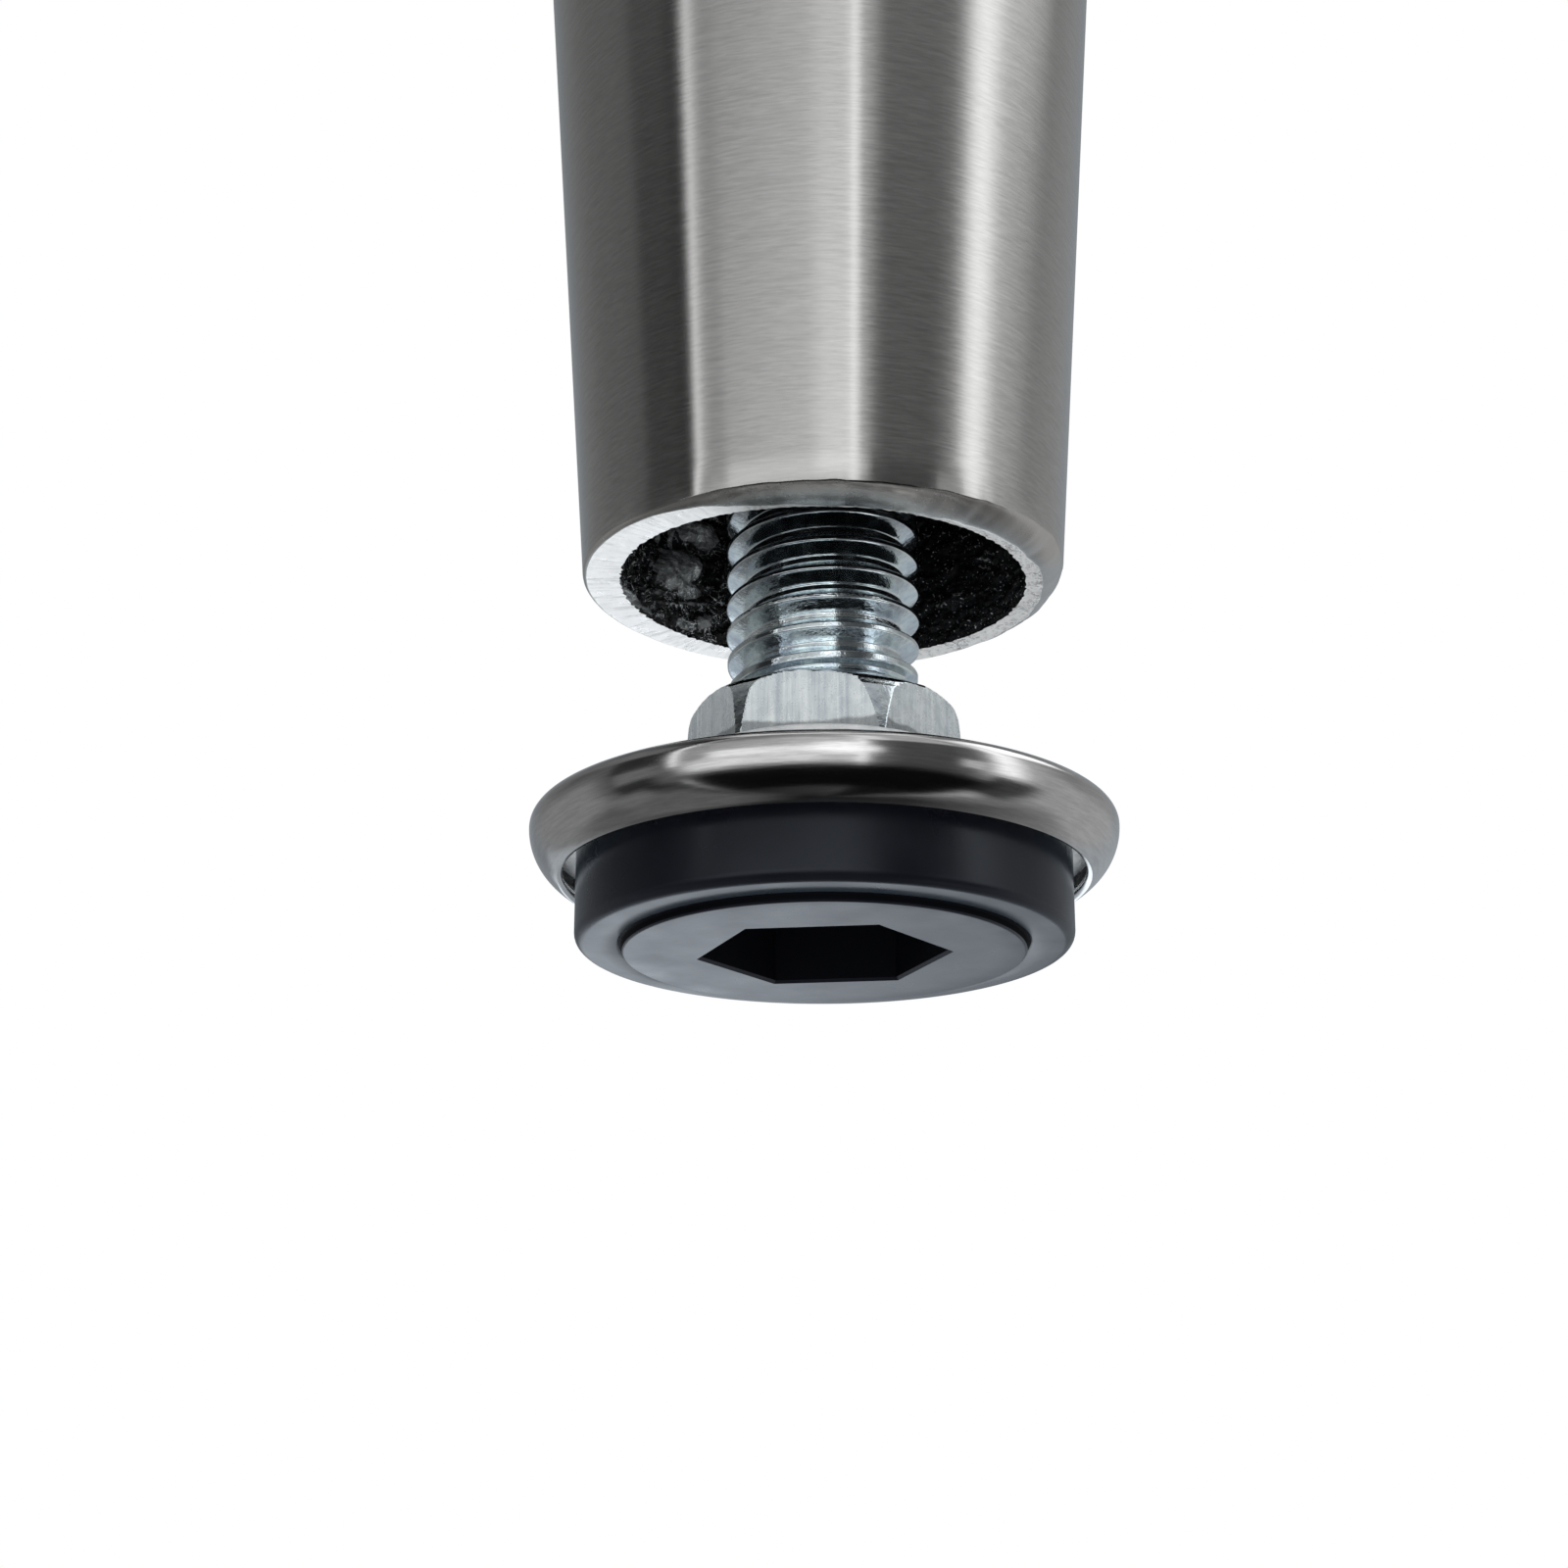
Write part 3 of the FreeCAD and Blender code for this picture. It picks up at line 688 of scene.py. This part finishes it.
def make_leg_tube():
    """Tube: outside, rounded rim, cut face and painted inside."""
    rings = []
    outside_rows = 12
    for step in range(outside_rows + 1):
        height = TUBE_TOP - (TUBE_TOP - EDGE_END) * step / outside_rows
        rings.append(circle(tube_radius(height), height))
    slots = [OUTSIDE] * len(rings)
    rim, rim_slots = rim_rings()
    rings += rim
    slots += rim_slots
    for row in range(1, PAINT_ROWS + 1):
        height = PAINT_START + (PAINT_TOP - PAINT_START) * (row / PAINT_ROWS) ** ROW_POWER
        rings.append(painted_wall(height, min(1.0, FIRST_SHARE + row / SHARE_ROWS)))
    for part in (0.25, 0.5, 0.75, 1.0):
        height = PAINT_TOP + (TUBE_TOP - PAINT_TOP) * part
        rings.append(circle(tube_radius(height) - TUBE_WALL, height))
    slots += [PAINTED] * (len(rings) - len(slots) - 1) + [OUTSIDE]
    fine_count = (FINE_END - FINE_START) * FINE_COLUMNS
    fine = [math.radians(FINE_START + step / FINE_COLUMNS) for step in range(fine_count)]
    coarse = [math.radians(degrees) for degrees in range(FINE_END, FINE_START + 360)]
    piece = skin("leg_tube_detailed", rings, fine + coarse, slots)
    # Each corner's pale on the lumps, for the paint: dust and bare metal, partly a painted reflection
    dust_and_reflection = piece.data.attributes.new("dust_and_reflection", "FLOAT", "POINT")
    for number, vertex in enumerate(piece.data.vertices):
        across, deep, up = vertex.co
        if up < PAINT_TOP:
            wall = tube_radius(up) - TUBE_WALL
            dust_and_reflection.data[number].value = lumps_at(math.atan2(deep, across), up, wall)[1]
    place(piece, "leg", "leg_tube", "leg_steel", leg_steel, rim_edge, rim_steel, black_paint)


# Stud: hexagon bar with its worn, domed collar, and the M8 thread

BAR_ROUNDING = 0.1 * MM
BAR_CHAMFER = 0.3 * MM
BAR_CHAMFER_HEIGHT = 0.2 * MM

# Thread: its depth, the part of a turn it starts at, half its crest's width, roundings, the bevel at its
# end, and its rows of mesh in a turn
THREAD_DEPTH = 0.68 * MM
THREAD_PHASE = 0.12
HALF_CREST = 0.085 * MM
CREST_ROUNDING = 0.035 * MM
ROOT_ROUNDING = 0.09 * MM
END_BEVEL = 0.8 * MM
THREAD_ROWS = 40

# Above the collar the groove starts at a share of its depth, and the crests are worn down a little more
RUN_OUT = 1.1 * THREAD_PITCH
RUN_OUT_SHARE = 0.35
CREST_WEAR = 0.01 * MM
LAST_TURN_DROP = 0.12 * MM
WORN_HEIGHT = 2.2 * THREAD_PITCH

# The collar's dome: how far out it reaches at heights from the disc's neck up, in millimetres
DOME_FOOT = NECK_TOP - 0.3 * MM
DOME_TOP = COLLAR_TOP + 0.2 * MM
DOME_ROWS = 80
DOME = [(7.7, 5.7), (8.4, 5.665), (9.0, 5.62), (9.4, 5.585), (9.7, 5.55), (10.0, 5.45), (10.15, 5.33),
        (10.3, 5.14), (10.45, 4.88), (10.6, 4.55), (10.8, 4.05)]

# Worn front corners of the collar: angle in degrees, and in millimetres the height where the wear starts
# and how deep it gets, over a height that all share
WORN_CORNERS = [(233, 7.9, 0.03), (293, 7.9, 0.15)]
WEAR_HEIGHT = 1.9

# How far inside the hexagon a place has to be to count as dome
DOME_CUT = 0.004 * MM


def worn_dome(angle, height):
    """How far out the collar reaches at an angle and a height."""
    reach = interpolate(DOME, height / MM)
    for degrees, foot, depth in WORN_CORNERS:
        if abs(angle_from(degrees, angle)) < TURN / 12:
            reach -= depth * clamp((height / MM - foot) / WEAR_HEIGHT)
    return reach * MM


def sharpen_between_slots(mesh):
    """Make the edges sharp where two materials meet."""
    slots = {}
    for face in mesh.polygons:
        for key in face.edge_keys:
            slots.setdefault(key, set()).add(face.material_index)
    for edge in mesh.edges:
        if len(slots[edge.key]) > 1:
            edge.use_edge_sharp = True


def soft_least(first, second, blend):
    """The smaller of two numbers, rounded where they meet."""
    part = max(0.0, blend - abs(first - second)) / blend
    return min(first, second) - part * part * blend / 4


def thread_radius(angle, height):
    """Radius of a rolled right-hand thread: 60 degree flanks, rounded crests and roots."""
    turn = (height / THREAD_PITCH - angle / TURN + THREAD_PHASE) % 1.0
    from_crest = abs(turn - 0.5) * THREAD_PITCH
    flank = STUD_RADIUS - (from_crest - HALF_CREST) * math.sqrt(3)
    wear = noise.noise(Vector((math.cos(angle), math.sin(angle), turn)) * 3.1)
    near_collar = max(0.0, 1 - (height - COLLAR_TOP) / WORN_HEIGHT)
    worn = STUD_RADIUS - CREST_WEAR * (1 + wear) - LAST_TURN_DROP * near_collar
    crest = soft_least(worn, flank, CREST_ROUNDING)
    share = RUN_OUT_SHARE + (1 - RUN_OUT_SHARE) * clamp((height - COLLAR_TOP) / RUN_OUT)
    root = STUD_RADIUS - THREAD_DEPTH * share
    return -soft_least(-crest, -root, ROOT_ROUNDING)


def cut_hexagon(height):
    """Ring of the bar at a height, cut by the collar's dome."""
    def ring(angle):
        return min(hexagon_radius(angle, BAR_FLATS, BAR_ROUNDING), worn_dome(angle, height)), height
    return ring


def make_adjusting_stud():
    """Hexagon bar, then a thread whose rows follow the helix, as one mesh."""
    angles = hexagon_angles(between=19, near=[0.45 * step for step in range(-20, 21)])
    count = len(angles)
    flat_foot = BAR_FLATS / math.sqrt(3) - BAR_CHAMFER
    rings = [hexagon(BAR_FLATS, BAR_FOOT, BAR_ROUNDING, within=flat_foot),
             hexagon(BAR_FLATS, BAR_FOOT + BAR_CHAMFER_HEIGHT, BAR_ROUNDING),
             hexagon(BAR_FLATS, NECK_TOP - 0.5 * MM, BAR_ROUNDING)]
    for row in range(DOME_ROWS + 1):
        rings.append(cut_hexagon(DOME_FOOT + (DOME_TOP - DOME_FOOT) * row / DOME_ROWS))
    corners = ring_corners(rings, angles)
    faces = []
    numbers = []
    for ring in range(len(rings) - 1):
        for step in range(count):
            low = ring * count + step
            after = ring * count + (step + 1) % count
            faces.append((low, after, after + count, low + count))
            full = hexagon_radius(angles[step], BAR_FLATS, BAR_ROUNDING)
            numbers.append(1 if math.hypot(*corners[low + count][:2]) < full - DOME_CUT else 0)
    start = len(corners)
    last = math.ceil((STUD_TOP - DOME_TOP) / THREAD_PITCH * THREAD_ROWS) + THREAD_ROWS
    for row in range(last + 1):
        for angle in angles:
            round_part = (angle - angles[0]) / TURN
            height = DOME_TOP + THREAD_PITCH * (row / THREAD_ROWS + round_part - 1)
            height = min(max(height, DOME_TOP), STUD_TOP)
            bevelled = STUD_RADIUS - max(0.0, height - (STUD_TOP - END_BEVEL))
            radius = min(thread_radius(angle, height), bevelled)
            corners.append((radius * math.cos(angle), radius * math.sin(angle), height))
    for step in range(count):
        after = (step + 1) % count
        faces.append((start - count + step, start - count + after, start + after, start + step))
        numbers.append(0)
    for row in range(last):
        for step in range(count):
            low = start + row * count + step
            if step < count - 1:
                faces.append((low, low + 1, low + 1 + count, low + count))
            else:
                over = start + min(row + THREAD_ROWS, last) * count
                above = start + min(row + THREAD_ROWS + 1, last) * count
                faces.append((low, over, above, low + count))
            numbers.append(1)
    for ring, flip in ((0, True), (start + last * count, False)):
        middle = len(corners)
        corners.append((0, 0, corners[ring][2]))
        for step in range(count):
            pair = (ring + step, ring + (step + 1) % count)
            faces.append((middle, *(reversed(pair) if flip else pair)))
            numbers.append(0)
    piece = new_piece("adjusting_stud_threaded", corners, faces, numbers, sharp=48)
    sharpen_between_slots(piece.data)
    place(piece, "foot", "adjusting_stud", "stud_zinc", collar_zinc, thread_zinc)


# Foot: disc, cap and pad

def make_base_disc():
    """Zinc disc with its neck drawn up round the bar."""
    under = PAD_TOP
    over = PAD_TOP + DISC_THICKNESS
    neck = BAR_FLATS / math.sqrt(3) + NECK_WALL
    edge = 0.15 * MM
    lip = 0.2 * MM
    hole = BAR_FLATS + 2 * BAR_FIT
    rings = [hexagon(hole, under), circle(DISC_RADIUS * 0.7, under)]
    rings += arc(DISC_RADIUS - edge, under + edge, edge, -90, 0, 4)
    rings += arc(DISC_RADIUS - edge, over - edge, edge, 0, 90, 4)
    rings += arc(neck + lip, over + lip, lip, 270, 180, 4)
    rings += arc(neck - lip, NECK_TOP - lip, lip, 0, 90, 5)
    rings += [hexagon(hole, NECK_TOP)]
    piece = skin("base_disc_detailed", rings, hexagon_angles())
    place(piece, "foot", "base_disc", "disc_zinc", disc_zinc)


def make_foot_cap():
    """Pressed cap with a raised centre and an edge that curls in under the disc."""
    seat = PAD_TOP + DISC_THICKNESS
    top = seat + CAP_THICKNESS
    equator = top - SHOULDER_ROLL
    hole = BAR_FLATS / math.sqrt(3) + NECK_WALL + HOLE_GAP
    land = hole + CENTRE_LAND
    slope_foot = TUBE_FOOT_RADIUS - TUBE_WALL - CENTRE_GAP
    shoulder = CAP_RADIUS - SHOULDER_ROLL
    roll = equator - PAD_TOP + CURL_DROP
    curl_centre = CAP_RADIUS - roll
    curl = math.degrees(CURL_ANGLE)
    lip = 0.12 * MM
    chamfer = 0.05 * MM
    chamfer_height = 0.06 * MM
    slope_steps = 12

    def centre_slope(lift):
        """Rings down the raised centre's slope, in one smooth double bend."""
        rings = []
        for step in range(slope_steps + 1):
            part = step / slope_steps
            drop = part * part * (3 - 2 * part)
            rings.append(circle(land + (slope_foot - land) * part, lift + (CAP_CENTRE - top) * (1 - drop)))
        return rings

    rings = [circle(hole + chamfer, CAP_CENTRE)]
    rings += centre_slope(top)
    rings += [circle((slope_foot + shoulder) / 2, top)]
    rings += arc(shoulder, equator, SHOULDER_ROLL, 90, 0, 16)
    rings += arc(curl_centre, equator, roll, 0, -curl, 28)[1:]
    outer = (curl_centre + roll * math.cos(CURL_ANGLE), equator - roll * math.sin(CURL_ANGLE))
    inner_roll = roll - CAP_THICKNESS
    inner = (curl_centre + inner_roll * math.cos(CURL_ANGLE), equator - inner_roll * math.sin(CURL_ANGLE))
    for part in (0.25, 0.5, 0.75):
        bulge = lip * 4 * part * (1 - part)
        across = outer[0] + (inner[0] - outer[0]) * part - bulge * math.sin(CURL_ANGLE)
        up = outer[1] + (inner[1] - outer[1]) * part - bulge * math.cos(CURL_ANGLE)
        rings.append(circle(across, up))
    outer_rings = len(rings)
    rings += arc(curl_centre, equator, inner_roll, -curl, 0, 20)
    rings += arc(shoulder, equator, SHOULDER_ROLL - CAP_THICKNESS, 0, 90, 6)[1:]
    rings += reversed(centre_slope(seat))
    slots = [0] * outer_rings + [1] * (len(rings) - outer_rings) + [0, 0]
    rings += [circle(hole, CAP_CENTRE - CAP_THICKNESS), circle(hole, CAP_CENTRE - chamfer_height)]
    piece = skin("foot_cap_detailed", rings, even_angles(288), slots)
    place(piece, "cap", "foot_cap", "cap_steel", cap_steel, disc_zinc)


def make_foot_pad():
    """Plastic pad: raised tread, socket and rounded edge, with painted shade in the socket and the groove.
    """
    edge = PAD_ROUNDING
    soft = 0.12 * MM
    seat = BAR_FLATS + 2 * BAR_FIT
    rings = [hexagon(SOCKET_FLATS, BAR_FOOT), hexagon(SOCKET_FLATS, soft)]
    rings += [hexagon(SOCKET_FLATS + 2 * soft, 0), circle(TREAD_RADIUS * 0.85, 0)]
    rings += arc(TREAD_RADIUS - soft, soft, soft, -90, 0, 4)
    groove_start = len(rings) - 2
    rings += arc(TREAD_RADIUS + soft, TREAD_STEP + GROOVE - soft, soft, 180, 90, 4)
    groove_end = len(rings) - 1
    rings += [circle(TREAD_RADIUS + 2 * soft, TREAD_STEP)]
    rings += [circle((TREAD_RADIUS + PAD_RADIUS) / 2, TREAD_STEP)]
    rings += arc(PAD_RADIUS - edge, TREAD_STEP + edge, edge, -90, 0, 8)
    rings += arc(PAD_RADIUS - soft, PAD_TOP - soft, soft, 0, 90, 4)
    rings += [circle(PAD_RADIUS * 0.8, PAD_TOP), hexagon(seat, PAD_TOP), hexagon(seat, BAR_FOOT)]
    # The socket's faces and the groove round the tread take the darker plastic, painted shade
    slots = [1] + [0] * (len(rings) - 2) + [1]
    slots[groove_start:groove_end] = [1] * (groove_end - groove_start)
    piece = skin("foot_pad_detailed", rings, hexagon_angles(), slots)
    place(piece, "foot", "foot_pad", "pad_plastic", pad_plastic, shaded_pad_plastic)


# Solids that keep their own shape

# The upright part of a face's normal from which it counts as level
LEVEL_FACE = 0.9999


def even_plate_shading(mesh):
    """Exact normals on the plate's rounded rim and in its screw holes, where long thin faces would
    shade unevenly."""
    flat_edge = PLATE_RADIUS - PLATE_ROUNDING
    lowest = PLATE_TOP - PLATE_THICKNESS + PLATE_ROUNDING
    highest = PLATE_TOP - PLATE_ROUNDING
    turns = even_angles(SCREW_COUNT)
    screws = [SCREW_CIRCLE * Vector((math.cos(turn), math.sin(turn))) for turn in turns]
    normals = [Vector(corner.vector) for corner in mesh.corner_normals]
    for face in mesh.polygons:
        screw = min(screws, key=lambda spot: (face.center.xy - spot).length)
        on_rim = face.center.xy.length > flat_edge
        in_hole = (face.center.xy - screw).length < SCREW_SINK
        if abs(face.normal.z) > LEVEL_FACE or not (on_rim or in_hole):
            continue
        face.use_smooth = True
        for corner in face.loop_indices:
            spot = mesh.vertices[mesh.loops[corner].vertex_index].co
            if on_rim:
                side = spot.xy * (1 - flat_edge / spot.xy.length)
                normal = Vector((*side, spot.z - min(max(spot.z, lowest), highest)))
            else:
                side = (screw - spot.xy).normalized() * math.sqrt(1 - face.normal.z ** 2)
                normal = Vector((*side, face.normal.z))
            normals[corner] = normal.normalized()
    mesh.normals_split_custom_set(normals)


def dress_kept_solids():
    """Give the solids that keep their own shape their materials."""
    for node, material in (("mounting_plate", plate_steel), ("nut_carrier", black_paint),
                           ("weld_nut", disc_zinc)):
        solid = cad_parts[node]
        solid.data.materials.clear()
        solid.data.materials.append(material)


make_leg_tube()
make_adjusting_stud()
make_base_disc()
make_foot_cap()
make_foot_pad()
dress_kept_solids()
even_plate_shading(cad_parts["mounting_plate"].data)


# Studio: a pale floor far below, and light as wide panels all round

FLOOR_HEIGHT = -0.45
FLOOR_SIZE = 6.0


def make_floor():
    """Pale floor, low enough for views from below."""
    half = FLOOR_SIZE / 2
    mesh = bpy.data.meshes.new("floor")
    corners = [(-half, -half, FLOOR_HEIGHT), (half, -half, FLOOR_HEIGHT),
               (half, half, FLOOR_HEIGHT), (-half, half, FLOOR_HEIGHT)]
    mesh.from_pydata(corners, [], [(0, 1, 2, 3)])
    floor = bpy.data.objects.new("floor", mesh)
    bpy.context.scene.collection.objects.link(floor)
    shader = Shader("floor_paper")
    shader.set(Base_Color=(0.9, 0.9, 0.9, 1), Roughness=0.9)
    shader.set(Emission_Color=(0.92, 0.97, 1.0, 1), Emission_Strength=1.15)
    mesh.materials.append(shader.material)
    floor.visible_glossy = False


# Brightness of the studio's walls, by azimuth in degrees: 0 is in front, positive to the right
WALLS = [
    (-180, 0.4), (-160, 0.31), (-140, 0.21), (-112, 0.125), (-90, 0.115), (-86, 0.035),
    (-66, 0.022), (-61.4, 0.05), (-60.0, 0.4), (-59, 1.6), (-57.8, 1.5), (-56.4, 0.55),
    (-53, 0.35), (-35, 0.44), (0, 0.66), (8, 0.68), (11.5, 0.8), (12.5, 1.5),
    (14.5, 1.35), (16.5, 0.3), (20, 0.15), (28, 0.08), (48, 0.08), (57, 0.14),
    (62, 0.32), (66.5, 1.05), (70.5, 1.45), (75, 1.3), (79, 0.85), (84, 0.5),
    (106, 0.25), (180, 0.4),
]

# Share of that brightness, by elevation in degrees
HEIGHTS = [(-90, 0.04), (-72, 0.1), (-55, 0.4), (-36, 0.85), (-20, 1.0), (36, 1.0), (50, 0.6), (90, 0.5)]

# Panels and dark areas laid over the walls, in degrees: azimuth, half width, elevation, half height and
# softness, and then brightness
PANELS = [
    (-133, 37, -10, 20, 16, 0.27),
    (129, 37, -10, 20, 14, 0.43),
    (-156, 10, -22, 14, 8, 0.5),
    (-156, 10, -42, 10, 10, 0.7),
    (-96, 32, -58, 20, 20, 0.14),
    (77, 13, -28, 18, 12, 0.06),
    (6, 66, -46, 24, 16, 0.004),
    (-61, 8, -17, 12, 8, 0.12),
    (-12, 32, 4, 6, 6, 1.2),
    (-28, 27, -11, 7, 14, 1.0),
    (5, 8, 6, 10, 12, 1.5),
    (34, 26, 51, 18, 12, 0.5),
    (18, 7, 44, 14, 8, 1.0),
    (-98, 28, 42, 12, 12, 0.18),
    (-76, 11, -3, 8, 8, 0.18),
    (-90, 12, -34, 8, 8, 0.18),
    (57, 5, -3, 6, 6, 0.65),
    (98, 20, 48, 14, 11, 1.7),
    (0, 180, 90, 18, 12, 0.95),
    (-178, 12, -26, 9, 6, 1.7),
    (-171, 9, -11, 7, 8, 1.6),
]

# Light from behind the object is a little blue, between these azimuths more and more
BACK_LIGHT = (0.88, 0.95, 1.02, 1)
BACK_START = 135.0
BACK_END = 155.0


def make_studio():
    """World light: white paper behind the object, panels of light all round."""
    world = bpy.data.worlds.new("studio")
    bpy.context.scene.world = world
    world.use_nodes = True
    world.node_tree.nodes.clear()
    nodes = Nodes(world.node_tree)
    way = nodes.add("ShaderNodeSeparateXYZ", {0: nodes.add("ShaderNodeTexCoord").outputs["Generated"]})
    across, deep, up = way.outputs
    forward = nodes.calculate("MULTIPLY", deep, -1.0)
    azimuth = nodes.calculate("DEGREES", nodes.calculate("ARCTAN2", across, forward))
    elevation = nodes.calculate("DEGREES", nodes.calculate("ARCSINE", up))
    level = nodes.calculate("MULTIPLY", nodes.graph(azimuth, -180, 180, WALLS),
                            nodes.graph(elevation, -90, 90, HEIGHTS))
    for centre, half_width, middle, half_height, soft, brightness in PANELS:
        off = nodes.calculate("SUBTRACT", azimuth, float(centre))
        off = nodes.calculate("ABSOLUTE", nodes.calculate("WRAP", off, -180.0, 180.0))
        rise = nodes.calculate("ABSOLUTE", nodes.calculate("SUBTRACT", elevation, float(middle)))
        edge = soft / 2
        inside = nodes.remap(off, half_width - edge, half_width + edge, 1.0, 0.0, smooth=True)
        within = nodes.remap(rise, half_height - edge, half_height + edge, 1.0, 0.0, smooth=True)
        level = nodes.mix(nodes.calculate("MULTIPLY", inside, within), level, brightness)
    turned = nodes.calculate("ABSOLUTE", azimuth)
    behind = nodes.remap(turned, BACK_START, BACK_END, 0.0, 1.0, smooth=True)
    colour = nodes.blend(behind, (1, 1, 1, 1), BACK_LIGHT)
    light = nodes.add("ShaderNodeBackground", {"Color": colour, "Strength": level})
    paper = nodes.add("ShaderNodeBackground", {"Color": (1, 1, 1, 1), "Strength": 1.0})
    seen = nodes.add("ShaderNodeLightPath").outputs["Is Camera Ray"]
    choice = nodes.add("ShaderNodeMixShader", {0: seen, 1: light.outputs[0], 2: paper.outputs[0]})
    nodes.add("ShaderNodeOutputWorld", {"Surface": choice.outputs[0]})


# Camera, with its lens and sensor in millimetres

CAMERA_PLACE = Vector((-1.616, -102.28, -26.26)) * MM
CAMERA_PITCH = math.radians(18.12)
CAMERA_LENS = 60.57
SENSOR_WIDTH = 36.0
NEAREST = 0.005
FARTHEST = 20.0


def make_camera():
    """Camera in front of the foot and below it, looking up."""
    data = bpy.data.cameras.new("camera")
    data.lens = CAMERA_LENS
    data.sensor_width = SENSOR_WIDTH
    data.clip_start = NEAREST
    data.clip_end = FARTHEST
    camera = bpy.data.objects.new("camera", data)
    camera.location = CAMERA_PLACE
    camera.rotation_euler = Euler((math.pi / 2 + CAMERA_PITCH, 0, 0))
    bpy.context.scene.collection.objects.link(camera)
    bpy.context.scene.camera = camera


make_floor()
make_studio()
make_camera()
bpy.context.scene.view_settings.view_transform = "Standard"
